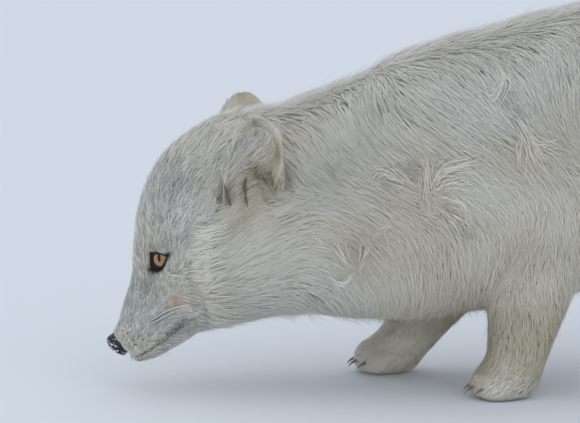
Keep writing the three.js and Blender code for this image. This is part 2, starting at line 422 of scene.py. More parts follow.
@dataclass
class Frame:
    """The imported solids, and places counted in millimetres from the tip of the nose.

    Attributes:
        nodes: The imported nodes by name.
        nose_tip_x: Where the nose starts, in metres along X.
    """

    nodes: dict[str, bpy.types.Object]
    nose_tip_x: float = field(init=False)

    def __post_init__(self) -> None:
        """Find the tip of the nose."""
        self.nose_tip_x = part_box("nose")[0].x

    def at(self, behind: float, aside: float, up: float) -> Array:
        """Turn millimetres behind the nose tip, aside along Y and above the floor into a place in metres."""
        return np.array([self.nose_tip_x + behind * MM, aside * MM, up * MM])

    def local(self, xyz: Array) -> Array:
        """Turn places in metres into millimetres behind the nose tip, aside and up."""
        return (xyz - np.array([self.nose_tip_x, 0.0, 0.0])) / MM


# ------------------------------------------------------------ eye places

# The line between the lids, as turns in degrees about the middle of the eye: along the slit towards its outer
# corner, and towards the upper lid.
OUTER_CORNER = (42, -11)
UPPER_LID = ((31, 11), (15, 27), (-3, 38), (-23, 42), (-43, 29))
INNER_CORNER = ((-55, 9), (-52, -14))
LOWER_LID = ((-36, -29), (-11, -27), (16, -20))
LID_LINE = (OUTER_CORNER, *UPPER_LID, *INNER_CORNER, *LOWER_LID)

# The turn in degrees that stands for places far outside the lids, which aren't measured.
FAR_OUTSIDE = 90.0


@dataclass
class EyeSite:
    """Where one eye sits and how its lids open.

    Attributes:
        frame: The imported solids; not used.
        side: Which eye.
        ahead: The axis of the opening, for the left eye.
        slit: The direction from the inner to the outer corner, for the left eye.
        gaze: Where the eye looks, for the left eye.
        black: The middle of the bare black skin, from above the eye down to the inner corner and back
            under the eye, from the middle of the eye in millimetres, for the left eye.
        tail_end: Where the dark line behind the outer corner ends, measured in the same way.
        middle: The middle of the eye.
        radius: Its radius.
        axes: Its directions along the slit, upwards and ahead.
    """

    frame: Frame
    side: Side
    ahead: Triple = (-0.573, -0.818, -0.078)
    slit: Triple = (0.605, -0.489, 0.627)
    gaze: Triple = (-0.50, -0.86, 0.12)
    black: tuple[Triple, ...] = (
        (-7.4, 0.4, 2.0),
        (-8.3, 0.4, -3.0),
        (-8.9, 1.4, -7.4),
        (-5.8, -2.6, -6.6),
        (-3.0, -6.4, -3.4),
    )
    tail_end: Triple = (6.6, -10.0, 7.2)
    middle: Array = field(init=False)
    radius: float = field(init=False)
    axes: Array = field(init=False)

    def __post_init__(self) -> None:
        """Work out the middle, the radius and the axes of this eye."""
        low, high = (np.array(corner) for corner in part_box(f"eye_{self.side.word}"))
        self.middle = (low + high) / 2
        self.radius = float((high - low)[0]) / 2
        ahead = unit(np.array(self.ahead))
        slit = np.array(self.slit)
        slit = unit(slit - ahead * (slit @ ahead))
        self.axes = np.array([slit, np.cross(ahead, slit), ahead]) * self.flip

    @property
    def flip(self) -> Array:
        """The factors that mirror a direction of the left eye onto this side."""
        return np.array([1.0, -float(self.side.value), 1.0])

    def faces(self, xyz: Array, reach: float) -> Array:
        """True for places before the eye, less than this many millimetres from its middle."""
        offset = xyz - self.middle
        return (np.linalg.norm(offset, axis=1) < reach * MM) & (offset @ self.axes[2] > 0)

    def turns(self, xyz: Array) -> Array:
        """Return each place as its two turns in degrees about the middle of the eye.

        Args:
            xyz: Places in metres.

        Returns:
            Two columns, along the slit and towards the upper lid. Places behind the eye are far outside.
        """
        along, up, out = ((xyz - self.middle) @ self.axes.T).T
        found = np.degrees(np.stack([np.arctan2(along, out), np.arctan2(up, out)], 1))
        return np.where((out > 0)[:, None], found, 180.0)

    def lid_line(self, steps: int = 8) -> Array:
        """Draw the smooth closed line between the lids.

        Args:
            steps: How many points it has for each one in LID_LINE.

        Returns:
            Its points, in degrees.
        """
        knots = np.array(LID_LINE, float)
        t = np.linspace(0, 1, steps, endpoint=False)[:, None]
        round_about = (np.roll(knots, shift, 0)[:, None, :] for shift in (1, 0, -1, -2))
        return smooth_curve(*round_about, t).reshape(-1, 2)

    def beyond_lids(self, xyz: Array) -> Array:
        """Measure how far places lie outside the line between the lids.

        Args:
            xyz: Places in metres.

        Returns:
            The distance of each in degrees, below 0 inside the line.
        """
        line = self.lid_line()
        turned = self.turns(xyz)
        after = np.roll(line, -1, 0)
        best = np.full(len(turned), 1e9)
        inside = np.zeros(len(turned), bool)
        for (ax, ay), (bx, by) in zip(line, after):
            span = np.array([bx - ax, by - ay])
            to = turned - (ax, ay)
            t = np.clip(to @ span / (span @ span), 0, 1)
            best = np.minimum(best, np.linalg.norm(to - t[:, None] * span, axis=1))
            crosses = (ay > turned[:, 1]) != (by > turned[:, 1])
            reach = (bx - ax) * (turned[:, 1] - ay) / (by - ay if by != ay else 1e-9) + ax
            inside ^= crosses & (turned[:, 0] < reach)
        return np.where(inside, -best, best)

    def corner_distance(self, xyz: Array) -> Array:
        """How far each place lies from the middle of the bare black skin round the eye, in metres."""
        line = [tuple(self.middle + np.array(spot) * self.flip * MM) for spot in self.black]
        return line_distance(xyz, tuple(line))[0]

    def tail_distance(self, xyz: Array) -> Array:
        """Measure how far places lie from the dark line that runs back from the outer corner.

        Args:
            xyz: Places in metres.

        Returns:
            The distance of each in metres, a little more towards the end of the line, where it thins.
        """
        sideways, upwards = np.radians(OUTER_CORNER)
        way = unit(np.array([math.tan(sideways), math.tan(upwards), 1.0]) @ self.axes)
        start = self.middle + way * (self.radius + 0.5 * MM)
        end = self.middle + np.array(self.tail_end) * self.flip * MM
        away, along = line_distance(xyz, (tuple(start), tuple(end)))
        return away + along * 0.5 * MM


@dataclass
class EarSite:
    """Where one ear stands.

    Attributes:
        frame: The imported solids.
        side: Which ear.
        root: The middle of its root, in millimetres from the nose tip, for the left ear counted outwards.
        tip: Its tip.
        half: Half its width, in millimetres.
        widest: The height of its widest place.
        forward: How far its cup faces ahead against 1 outwards.
        above: The height of its tip over that place.
        axes: Its directions up, back along the ear and out of the cup.
    """

    frame: Frame
    side: Side
    root: Triple = (82.2, 51.0, 114.0)
    tip: Triple = (95.7, 60.5, 183.5)
    half: float = 18.5
    widest: float = 32.0
    forward: float = 0.12
    above: float = field(init=False)
    axes: Array = field(init=False)

    def __post_init__(self) -> None:
        """Work out the axes and the height of this ear."""
        flip = np.array([1.0, float(self.side.value), 1.0])
        rise = (np.array(self.tip) - np.array(self.root)) * flip
        up = unit(rise)
        out = np.array([-self.forward, float(self.side.value), 0.0])
        out = unit(out - up * (out @ up))
        back = np.cross(up, out)
        self.axes = np.array([up, back * np.sign(back[0]), out])
        self.above = float(np.linalg.norm(rise)) - self.widest

    def measure(self, xyz: Array) -> tuple[Array, Array, Array, Array]:
        """Measure places along the ear.

        Args:
            xyz: Places in metres.

        Returns:
            The height up the ear, the distance back from its middle line, the distance out of its cup and
            half the ear's width at that height, all in millimetres.
        """
        root = self.frame.at(self.root[0], self.root[1] * self.side.value, self.root[2])
        height, back, out = (((xyz - root) @ self.axes.T) / MM).T
        share = np.clip((height - self.widest) / self.above, 0.0, 1.0)
        half = self.half * np.sqrt(np.maximum(1.0 - share**2, 0.02))
        return height, back, out, half

    def reach(self, height: Array, back: Array) -> Array:
        """How far places are from the middle of the ear, as a share of the way to its rounded edge."""
        return np.hypot(back / self.half, (height - self.widest) / self.above)


# ------------------------------------------------------------ markings


@dataclass(frozen=True)
class Mark:
    """A soft patch of colour on both sides of the fox, in millimetres from the nose tip.

    Attributes:
        what: The colour's name in the skin's and the coat's attributes.
        middle: The middle of the patch, behind the nose tip, aside and up.
        size: How far it reaches along its length, across it and aside.
        slope: How steeply its length rises towards the tail, in degrees.
        strength: The colour's share in the middle.
    """

    what: str
    middle: Triple
    size: Triple
    slope: float = 0.0
    strength: float = 1.0

    def at(self, behind: Array, aside: Array, up: Array) -> Array:
        """Return the colour's share at places whose sideways distance is counted outwards.

        Args:
            behind: Millimetres behind the nose tip.
            aside: Millimetres from the middle plane.
            up: Millimetres above the floor.

        Returns:
            A share for each place.
        """
        turn = math.radians(self.slope)
        x, z = behind - self.middle[0], up - self.middle[2]
        along = (x * math.cos(turn) + z * math.sin(turn)) / self.size[0]
        across = (z * math.cos(turn) - x * math.sin(turn)) / self.size[1]
        out = (aside - self.middle[1]) / self.size[2]
        return self.strength * np.exp(-(along**2) - across**2 - out**2)


# hollow holds painted shade deep among the hairs, over the dark skin that shows there; some cream, warm and
# cool marks below are painted light, as their comments say.
COLOURS = ("warm", "cool", "dark", "stain", "hollow", "cream")
MARKS = (
    Mark("warm", (90, 58, 142), (12, 13, 14), 0, 1.0),
    Mark("warm", (104, 60, 157), (4, 18, 14), -12, 0.7),
    Mark("warm", (92, 58, 184), (10, 7, 12), 0, 0.6),
    Mark("warm", (80, 56, 115), (13, 5, 30), 40, 0.45),
    Mark("warm", (75, 45, 130), (10, 18, 30), 60, 0.25),
    Mark("warm", (70, 40, 56), (28, 12, 40), -30, 0.2),
    Mark("warm", (50, 30, 66), (12, 10, 30), 20, 0.12),
    Mark("warm", (195, 90, 134), (34, 26, 60), 0, 0.2),
    Mark("warm", (262, 95, 166), (34, 26, 60), 0, 0.2),
    Mark("warm", (150, 70, 96), (16, 18, 60), 0, 0.15),
    Mark("warm", (255, 30, 35), (60, 40, 60), 0, 0.8),
    # Painted light: the next mark warms the lower side of the trunk, as light thrown up from below would.
    Mark("warm", (240, 60, 105), (110, 45, 60), 0, 0.2),
    Mark("cream", (240, 60, 105), (110, 45, 60), 0, 0.6),
    # Painted light: this mark pales the forelegs in the shade under the chest, as light thrown up from the
    # floor would.
    Mark("cream", (190, 45, 35), (28, 40, 60), 0, 0.9),
    Mark("cream", (75, 35, 58), (35, 14, 60), 0, 0.3),
    # Painted light: this mark pales the face below the eye, where it turns down into shade.
    Mark("cream", (45, 28, 62), (16, 12, 30), 0, 0.6),
    # Painted light: this mark cools the top of the back, as the bluish sky's light would.
    Mark("cool", (250, 70, 195), (75, 45, 90), 0, 0.12),
    # Painted light: this mark pales the fur in the shaded pocket at the low hind part of the ear.
    Mark("cream", (98, 56, 148), (14, 16, 16), 0, 0.6),
    Mark("warm", (440, 30, 35), (90, 45, 60), 0, 0.4),
    Mark("cool", (18, 10, 60), (16, 50, 30), 70, 0.45),
    Mark("cool", (45, 20, 125), (18, 40, 40), 50, 0.3),
    Mark("stain", (43, 27, 60.5), (2.6, 1.9, 12), 80, 0.6),
    Mark("stain", (42.4, 27, 64), (4.2, 1.3, 12), 80, 0.35),
    Mark("dark", (133, 75, 140), (26, 22, 60), 0, 0.17),
    Mark("dark", (42, 30, 104), (11, 8, 14), 20, 0.20),
    Mark("dark", (24, 19, 71), (9, 2.5, 10), 75, 0.16),
    Mark("dark", (155, 78, 168), (30, 30, 60), 0, 0.10),
    Mark("dark", (58, 45, 143), (15, 20, 40), 0, 0.10),
    Mark("dark", (74.7, 58, 159.5), (20, 3, 14), 75, 0.22),
    # Painted shade among the hairs of the head, which the pit colour shows towards the roots.
    Mark("hollow", (54, 40, 140), (24, 34, 60), 0, 0.26),
    # Painted light: this mark takes painted shade away where the face below the eye turns down.
    Mark("hollow", (45, 28, 62), (18, 13, 40), 0, -0.3),
)

# The hollows at the front of the ear's root, painted dark as their shade.
EAR_HOLLOW_SHADES = (
    Mark("dark", (74, 50, 134), (7, 1.6, 20), 112, 0.5),
    Mark("dark", (85.5, 56, 135), (8, 1.5, 20), 95, 0.5),
)


@dataclass
class Markings:
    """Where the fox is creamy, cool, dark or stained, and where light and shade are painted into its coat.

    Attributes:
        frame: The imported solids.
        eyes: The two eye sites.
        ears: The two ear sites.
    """

    frame: Frame
    eyes: list[EyeSite]
    ears: list[EarSite]

    def at(self, xyz: Array) -> dict[str, Array]:
        """Return the share of each colour at each place.

        Args:
            xyz: Places in metres.

        Returns:
            One array for each name in COLOURS.
        """
        behind, aside, up = self.frame.local(xyz).T
        aside = np.abs(aside)
        found = {what: np.zeros(len(xyz)) for what in COLOURS}
        for mark in MARKS:
            found[mark.what] += mark.at(behind, aside, up)
        found["warm"] += 0.10 * Waves(0.05, 4).at(xyz) + 0.06 * Waves(0.015, 5).at(xyz)
        # Painted shade in the narrow hollows at the front of the ears' roots.
        slits = sum(slit.at(behind, aside, up) for slit in EAR_HOLLOW_SHADES)
        for dark in (self._rims(xyz), self._lips(xyz), slits):
            found["dark"] = np.maximum(found["dark"], dark)
        # Painted shade over dark skin: the hollow marking darkens the short coat of the muzzle and the ears'
        # cups towards the roots.
        away = np.hypot(behind - MUZZLE_TOP[0], up - MUZZLE_TOP[1])
        found["hollow"] += 0.28 * smoothstep(80.0, 50.0, away) + 0.14 * smoothstep(50.0, 25.0, away)
        found["hollow"] += 0.3 * self._ear_cups(xyz)
        return {what: np.clip(share, 0.0, 1.0) for what, share in found.items()}

    def _ear_cups(self, xyz: Array) -> Array:
        """Find the cups of the ears, where dark skin and painted shade show between the hairs.

        Args:
            xyz: Places in metres.

        Returns:
            1 in a cup and 0 elsewhere.
        """
        cup = np.zeros(len(xyz))
        for ear in self.ears:
            height, along, out, _ = ear.measure(xyz)
            inside = smoothstep(0.95, 0.75, ear.reach(height, along))
            upper = inside * smoothstep(32.0, 46.0, height)
            cup = np.maximum(cup, upper * smoothstep(1.0, -2.0, out) * (out > -16))
        return cup

    def _lips(self, xyz: Array) -> Array:
        """Find the broken dark fringe along the mouth.

        Args:
            xyz: Places in metres.

        Returns:
            The share of black at each.
        """
        behind, aside, up = self.frame.local(xyz).T
        away, along = line_distance(np.stack([behind, up], 1), MOUTH_LINE)
        band = smoothstep(3.4, 1.0, away + 0.9 * Waves(0.003, 8).at(xyz)) * smoothstep(1.0, 0.88, along)
        streaks = smoothstep(-0.2, 0.7, Waves(0.0022, 9).at(xyz))
        core = 0.5 * smoothstep(0.9, 0.3, away) * smoothstep(0.0, 0.1, along)
        fringe = 0.3 * band * streaks * smoothstep(0.15, 0.45, along)
        return np.maximum(fringe, core) * (np.abs(aside) < MOUTH_HALF)

    def _rims(self, xyz: Array) -> Array:
        """Find the black rims of the lids, their inner corners and the line behind their outer corners.

        Args:
            xyz: Places in metres.

        Returns:
            The share of black at each.
        """
        dark = np.zeros(len(xyz))
        for eye in self.eyes:
            near = np.linalg.norm(xyz - eye.middle, axis=1) < 24 * MM
            if not near.any():
                continue
            beyond = eye.beyond_lids(xyz[near]) * math.pi / 180 * eye.radius / MM
            narrow = smoothstep(18.0, 34.0, eye.turns(xyz[near])[:, 0])
            rim = smoothstep(2.2, 1.5, beyond + 0.5 * narrow)
            rim = np.maximum(rim, smoothstep(3.1, 2.5, eye.corner_distance(xyz[near]) / MM))
            tail = smoothstep(0.9, 0.3, eye.tail_distance(xyz[near]) / MM)
            dark[near] = np.maximum(rim, 0.4 * tail)
        return dark


# ------------------------------------------------------------ the skin


@dataclass(frozen=True)
class Pelt:
    """The coat on one node of the body, in millimetres.

    Attributes:
        depth: How far the skin lies under the outline of the coat.
        length: The length of a tuft.
        width: The width of a tuft at its root.
        gap: The mean distance between roots.
        loose: How far tufts turn from the lie of the coat, in degrees.
        soft: How far the shading of a tuft turns from its own surface to the skin's, from 0 to 1.
        tone: How much tufts differ in lightness.
    """

    depth: float
    length: float
    width: float
    gap: float
    loose: float = 9.0
    soft: float = 0.8
    tone: float = 1.0


MUZZLE = Pelt(1.3, 4.6, 0.38, 0.74, 13, 0.25, 4.8)
FACE = Pelt(2.6, 7.0, 0.42, 0.86, 16, 0.3, 5.0)
CROWN = Pelt(6.5, 13.0, 0.46, 0.99, 14, 0.45, 4.4)
CHEEK = Pelt(8.5, 27.0, 0.48, 0.99, 6, 0.8, 1.2)
NECK = Pelt(13.0, 34.0, 0.50, 1.10, 7, 0.87, 0.8)
CHEST = Pelt(14.5, 38.0, 0.52, 1.19, 7, 0.92, 0.7)
FLANK = Pelt(14.5, 40.0, 0.66, 1.5, 7, 0.85, 1.0)
RUMP = Pelt(13.5, 38.0, 0.66, 1.5, 7, 0.85, 1.0)
LEG = Pelt(6.0, 20.0, 0.52, 1.2, 8, 0.8, 1.0)
PAW = Pelt(3.0, 9.0, 0.55, 1.1, 12, 0.6, 1.0)
TAIL = Pelt(19.0, 50.0, 0.85, 1.5, 7, 0.85, 0.8)
EAR = Pelt(0.8, 6.0, 0.40, 0.72, 9, 0.35, 1.8)

PELTS: dict[str, Pelt] = {
    "head": CROWN,
    "jaw": MUZZLE,
    "nose": MUZZLE,
    "eye_left": FACE,
    "eye_right": FACE,
    "neck": NECK,
    "chest": CHEST,
    "loin": FLANK,
    "rump": RUMP,
    "ear_left": EAR,
    "ear_right": EAR,
    "foreleg_left": LEG,
    "foreleg_right": LEG,
    "hindleg_left": LEG,
    "hindleg_right": LEG,
    "forepaw_left": PAW,
    "forepaw_right": PAW,
    "hindpaw_left": PAW,
    "hindpaw_right": PAW,
    "tail_base": TAIL,
    "tail_middle": TAIL,
    "tail_tip": TAIL,
}

# The numbers of a pelt that aren't lengths, and the nodes that belong together.
PURE_NUMBERS = ("loose", "soft", "tone")
NOT_FLESH = ("nose", "eye_left", "eye_right")
HEAD_NODES = ("head", "jaw", *NOT_FLESH)
EAR_NODES = ("ear_left", "ear_right")
TRUNK_NODES = ("neck", "chest", "loin", "rump")
TAIL_NODES = ("tail_base", "tail_middle", "tail_tip")
PAW_NODES = ("forepaw_left", "forepaw_right", "hindpaw_left", "hindpaw_right")


def node_numbers(*nodes: str) -> list[int]:
    """The numbers that stand for nodes in the skin's arrays."""
    return [list(PELTS).index(node) for node in nodes]


@dataclass(frozen=True)
class Lie:
    """The lie of the coat at one place on the side of the body.

    Attributes:
        behind: Millimetres behind the nose tip.
        up: Millimetres above the floor.
        back: The lie's share towards the tail.
        rise: The lie's share upwards.
    """

    behind: float
    up: float
    back: float
    rise: float


LIES = (
    Lie(10, 40, 0.15, 1.0),
    Lie(22, 45, 0.45, 0.9),
    Lie(38, 40, 0.7, 0.7),
    Lie(18, 75, 0.2, 1.0),
    Lie(36, 72, 0.6, 0.8),
    Lie(20, 105, 0.3, 0.95),
    Lie(40, 105, 0.4, 0.92),
    Lie(36, 135, 0.35, 0.93),
    Lie(58, 120, 0.6, 0.8),
    Lie(60, 90, 0.86, 0.5),
    Lie(62, 65, 0.85, 0.4),
    Lie(70, 150, 0.4, 0.9),
    Lie(60, 165, 0.7, 0.7),
    Lie(84, 100, 0.8, 0.6),
    Lie(86, 85, 0.82, 0.55),
    Lie(90, 70, 0.8, 0.3),
    Lie(75, 52, 0.65, -0.3),
    Lie(105, 55, 0.35, -0.9),
    Lie(100, 118, 0.88, 0.45),
    Lie(112, 108, 0.95, 0.28),
    Lie(118, 92, 0.95, 0.15),
    Lie(125, 125, 0.95, 0.05),
    Lie(112, 140, 0.75, -0.65),
    Lie(106, 160, 0.3, -0.95),
    Lie(102, 178, 0.35, -0.93),
    Lie(120, 165, 0.36, -0.93),
    Lie(122, 190, 0.22, -0.97),
    Lie(138, 150, 0.65, -0.75),
    Lie(140, 185, 0.25, -0.97),
    Lie(142, 110, 0.85, -0.4),
    Lie(146, 82, 0.4, -0.9),
    Lie(160, 150, 0.72, -0.6),
    Lie(155, 60, 0.05, -1.0),
    Lie(165, 195, 0.25, -0.97),
    Lie(195, 190, 0.5, -0.86),
    Lie(195, 160, 0.75, -0.65),
    Lie(190, 132, 0.95, -0.25),
    Lie(200, 100, -0.1, -1.0),
    Lie(195, 65, -0.15, -1.0),
    Lie(235, 150, 0.95, -0.35),
    Lie(250, 200, 0.3, -0.95),
    Lie(215, 215, 0.3, -0.95),
    Lie(262, 115, -0.35, -0.9),
    Lie(270, 80, -0.3, -0.95),
    Lie(290, 215, 0.2, -0.98),
    Lie(290, 245, 0.15, -0.98),
    Lie(290, 165, 0.6, -0.8),
    Lie(310, 110, -0.05, -1.0),
    Lie(350, 220, 0.45, -0.85),
    Lie(350, 160, 0.6, -0.8),
    Lie(350, 95, 0.35, -0.9),
    Lie(420, 220, 0.6, -0.75),
    Lie(420, 150, 0.65, -0.75),
    Lie(410, 100, 0.5, -0.85),
    Lie(480, 200, 0.6, -0.8),
    Lie(480, 150, 0.35, -0.95),
)

# The lie on whole nodes, by the start of their names: towards the tail, away from the middle and upwards.
LIMB_LIES: dict[str, Triple] = {
    "foreleg": (0.06, 0.0, -1.0),
    "forepaw": (-0.8, 0.0, -0.6),
    "hindleg": (0.15, 0.0, -1.0),
    "hindpaw": (-0.8, 0.0, -0.6),
    "tail_base": (0.82, 0.05, -0.55),
    "tail_middle": (0.9, 0.07, -0.42),
    "tail_tip": (0.97, 0.09, -0.15),
    "ear": (0.45, 0.0, 0.9),
}


@dataclass(frozen=True)
class Swell:
    """A soft rise or dip of the skin on both sides of the face, in millimetres from the nose tip.

    Attributes:
        middle: Its middle, behind the nose tip, aside and up.
        reach: How far it reaches.
        height: How high it rises in the middle, below 0 for a dip.
    """

    middle: Triple
    reach: float
    height: float


SWELLS = (
    Swell((38, 27, 104), 9, 1.0),
    Swell((27, 14, 84), 9, -1.2),
    Swell((22, 0, 100), 11, -1.4),
    Swell((52, 34, 82), 12, 1.4),
    Swell((24, 14, 40), 8, 1.4),
    Swell((14, 9, 38), 5, 0.8),
    Swell((6.5, 0, 37), 5.5, 1.6),
    Swell((7.5, 5, 35), 4.5, 0.8),
    Swell((101, 54, 146), 12, 2.0),
)

# Sharp hollows between the solids that the skin smooths away: their middle and their reach in millimetres.
HOLLOWS = (((500, 45, 166), 34.0), ((97, 52, 142), 10.0))

# Where the coat is matted: the middle behind the nose tip and up, and the reach along and up.
MATTED = ((197, 134, 34, 24), (264, 166, 36, 24), (152, 96, 14, 14))

# How far from the front of the lips the muzzle's coat grades into the face's and this into the crown's, and
# where behind the nose tip and up they grade into the cheek's, in millimetres.
TO_FACE, TO_CROWN = (34.0, 62.0), (76.0, 125.0)
TO_CHEEK, CHEEK_TOP = (47.0, 62.0), (130.0, 106.0)

# The share that the coat's numbers lose beside the lids.
LESS_BY_LIDS = {"depth": 0.5, "length": 0.5, "gap": 0.5, "width": 0.25}

# Where the hair in the cups of the ears fans out from, behind the nose tip, aside and up.
EAR_FAN = (66.0, 0.0, 128.0)

# How much every hair lies backwards beside its guides, and how much more so on top of the trunk.
BACKWARDS, TOP_BACKWARDS = 0.06, 0.6


@dataclass
class SkinFields:
    """What the coat reads at each vertex of the skin, with lengths in metres.

    Attributes:
        place: Where the vertex is.
        normal: The way out of the skin.
        lie: The lie of the coat, along the skin.
        node: The number of the nearest node.
        depth: The depth of the coat over it.
        length: The length of a tuft.
        width: The width of a tuft at its root.
        gap: The mean distance between roots.
        loose: How far tufts turn from the lie, in degrees.
        soft: How far the shading of a tuft turns from its own surface to the skin's, from 0 to 1.
        tone: How much tufts differ in lightness.
        bare: True where no coat grows.
    """

    place: Array
    normal: Array
    lie: Array
    node: Array
    depth: Array
    length: Array
    width: Array
    gap: Array
    loose: Array
    soft: Array
    tone: Array
    bare: Array


@dataclass
class Skin:
    """One skin over the whole fox, inside the solids by the depth of the coat.

    Attributes:
        frame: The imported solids.
        eyes: The two eye sites.
        ears: The two ear sites.
        markings: The colours of the fox.
        voxel: The size of a face before the skin is thinned.
        overlap: How far the solids grow, so that the cuts between them close.
        relax: Rounds of smoothing that take the flat facets away.
        body_start: Where the skin gets thinner behind the head, in millimetres behind the nose tip.
        paw_top: The height of the paws, which stay fine, in millimetres.
        body_share: How many of its faces the skin keeps there.
        finer: How far from an eye's middle its faces are split, time after time, in millimetres. Along the
            mouth it is a quarter of that.
        sink_steps: In how many steps it sinks by the coat's depth.
        fold_rounds: How often its folds are smoothed after that.
        sole_top: Up to which height the soles are bare, in millimetres.
        bare_rim: How far outside the lids the skin is bare, in degrees.
        bare_corner: How far round an eye's inner corner it is bare, in millimetres.
        piece: The skin's mesh object.
        fields: What the coat reads on it.
    """

    frame: Frame
    eyes: list[EyeSite]
    ears: list[EarSite]
    markings: Markings
    voxel: float = 1.7 * MM
    overlap: float = 0.45 * MM
    relax: int = 24
    body_start: float = 124.0
    paw_top: float = 24.0
    body_share: float = 0.22
    finer: tuple[float, ...] = (17.0, 12.0)
    sink_steps: int = 6
    fold_rounds: int = 3
    sole_top: float = 3.5
    bare_rim: float = 6.5
    bare_corner: float = 2.9
    piece: bpy.types.Object = field(init=False)
    fields: SkinFields = field(init=False)

    def build(self) -> bpy.types.Object:
        """Make the skin, sink it by the coat's depth and shape the face.

        Returns:
            The finished skin.
        """
        self.piece = self._joined_solids()
        solids = self._solid_tree()
        apply_modifier(self.piece, "REMESH", mode="VOXEL", voxel_size=self.voxel, use_smooth_shade=True)
        self._relax()
        self._thin()
        self._refine_face()
        node = self._nearest_node(*solids)
        self._sink(node)
        self._shape_face(node)
        self._open_lids()
        self._unwrap()
        self.fields = self._read_fields(node)
        for what, share in self.markings.at(self.fields.place).items():
            write_attribute(self.piece.data, what, share)
        log.info("skin: %d vertices", len(self.piece.data.vertices))
        return self.piece

    @staticmethod
    def _on_ear(ear: EarSite, node: Array) -> Array:
        """True where the nearest node is this ear."""
        return node == node_numbers(f"ear_{ear.side.word}")[0]

    def _joined_solids(self) -> bpy.types.Object:
        """Copy the solids, join the copies and let them grow into each other.

        Returns:
            The joined copies, with the number of its node on each face.
        """
        copies = []
        deselect()
        for name in PELTS:
            copy = copy_solid(self.frame.nodes[name])
            tag = copy.data.attributes.new("node", "INT", "FACE")
            count = len(copy.data.polygons)
            tag.data.foreach_set("value", np.full(count, node_numbers(name)[0], np.int32))
            copy.select_set(True)
            copies.append(copy)
        bpy.context.view_layer.objects.active = copies[0]
        bpy.ops.object.join()
        piece = bpy.context.object
        piece.name = piece.data.name = "skin"
        merge_doubles(piece)
        move_to(piece.data, places(piece.data) + normals(piece.data) * self.overlap)
        return piece

    def _solid_tree(self) -> tuple[BVHTree, Array]:
        """Return the joined solids as a tree for nearest places, and the node of each of their faces."""
        mesh = self.piece.data
        return face_tree(mesh), read(mesh.attributes["node"].data, "value", 1, np.int32)[:, 0]

    def _nearest_node(self, tree: BVHTree, node: Array) -> Array:
        """The node nearest to each vertex."""
        xyz = places(self.piece.data).tolist()
        return node[np.fromiter((tree.find_nearest(place)[2] for place in xyz), np.int32, len(xyz))]

    def _relax(self) -> None:
        """Smooth the flat facets away, least on the ears, face and feet."""
        mesh = self.piece.data
        xyz = places(mesh)
        behind, aside, up = self.frame.local(xyz).T
        ear = (behind < 118) & (up > 118) & (np.abs(aside) > 38)
        face = smoothstep(110, 80, behind)
        feet = smoothstep(30, 15, up) * (behind > 120)
        share = np.where(ear, 0.12, 0.5 - 0.22 * np.maximum(face, feet))
        move_to(mesh, spread(xyz, edge_ends(mesh), self.relax, share))

    def _thin(self) -> None:
        """Leave fewer faces behind the head, where the coat is deep."""
        behind, _, up = self.frame.local(middles(self.piece.data)).T
        select_faces(self.piece, (behind > self.body_start) & (up > self.paw_top))
        bpy.ops.mesh.decimate(ratio=self.body_share)
        bpy.ops.object.mode_set(mode="OBJECT")

    def _refine_face(self) -> None:
        """Split the faces round the eyes, and along the mouth, into finer ones."""
        for reach in self.finer:
            middle = middles(self.piece.data)
            near = np.zeros(len(middle), bool)
            for eye in self.eyes:
                near |= eye.faces(middle, reach)
            behind, aside, up = self.frame.local(middle).T
            away, _ = line_distance(np.stack([behind, up], 1), MOUTH_LINE)
            near |= (away < reach / 4) & (np.abs(aside) < MOUTH_HALF)
            select_faces(self.piece, near)
            bpy.ops.mesh.subdivide(number_cuts=1, quadcorner="INNERVERT")
            bpy.ops.object.mode_set(mode="OBJECT")
        mesh = self.piece.data
        xyz = places(mesh)
        near = np.zeros(len(xyz), bool)
        for eye in self.eyes:
            near |= np.linalg.norm(xyz - eye.middle, axis=1) < 18 * MM
        move_to(mesh, spread(xyz, edge_ends(mesh), 6, np.where(near, 0.5, 0.0)))

    def _sink(self, node: Array) -> None:
        """Move the skin inwards by the depth of the coat, in small steps with smoothing between them.

        Args:
            node: The node nearest to each vertex.
        """
        mesh = self.piece.data
        ends = edge_ends(mesh)
        xyz = places(mesh)
        spot = self.frame.local(xyz)
        spot[:, 1] = np.abs(spot[:, 1])
        hollow = np.zeros(len(xyz))
        for middle, reach in HOLLOWS:
            away = np.linalg.norm(spot - middle, axis=1)
            hollow = np.maximum(hollow, smoothstep(reach, 0.5 * reach, away))
        move_to(mesh, spread(xyz, ends, 60, 0.5 * hollow))
        depth = self._depth(node, ends)
        outline = face_tree(mesh)
        for _ in range(self.sink_steps):
            outward = unit(spread(normals(mesh), ends, 2))
            sunk = places(mesh) - outward * (depth / self.sink_steps)[:, None]
            move_to(mesh, spread(sunk, ends, 2, np.clip(depth / (8 * MM), 0.0, 0.5)))
        for _ in range(self.fold_rounds):
            self._smooth_folds(outline, depth, ends)

    def _depth(self, node: Array, ends: Array) -> Array:
        """Find the depth of the coat, blended widely over the body and narrowly on head and feet.

        Args:
            node: The node nearest to each vertex.
            ends: The two vertices of each edge.

        Returns:
            The depth at each vertex, in metres.
        """
        depth = spread(self._by_node(node, "depth"), ends, 12)
        behind, _, up = self.frame.local(places(self.piece.data)).T
        return spread(depth, ends, 70, 0.5 * smoothstep(130.0, 160.0, behind) * smoothstep(40.0, 60.0, up))

    def _smooth_folds(self, outline: BVHTree, depth: Array, ends: Array) -> None:
        """Smooth the folds in which the sunk skin has come too near to the outline of the coat.

        Args:
            outline: The skin before it sank.
            depth: The depth of the coat at each vertex.
            ends: The two vertices of each edge.
        """
        xyz = places(self.piece.data)
        found = [outline.find_nearest(place) for place in xyz.tolist()]
        out = np.array([tuple(hit[1]) for hit in found])
        gap = ((np.array([tuple(hit[0]) for hit in found]) - xyz) * out).sum(1)
        near = spread(((gap < 0.5 * depth) & (depth > 5 * MM)).astype(float), ends, 4) > 0.02
        move_to(self.piece.data, spread(xyz, ends, 40, np.where(near, 0.5, 0.0)))

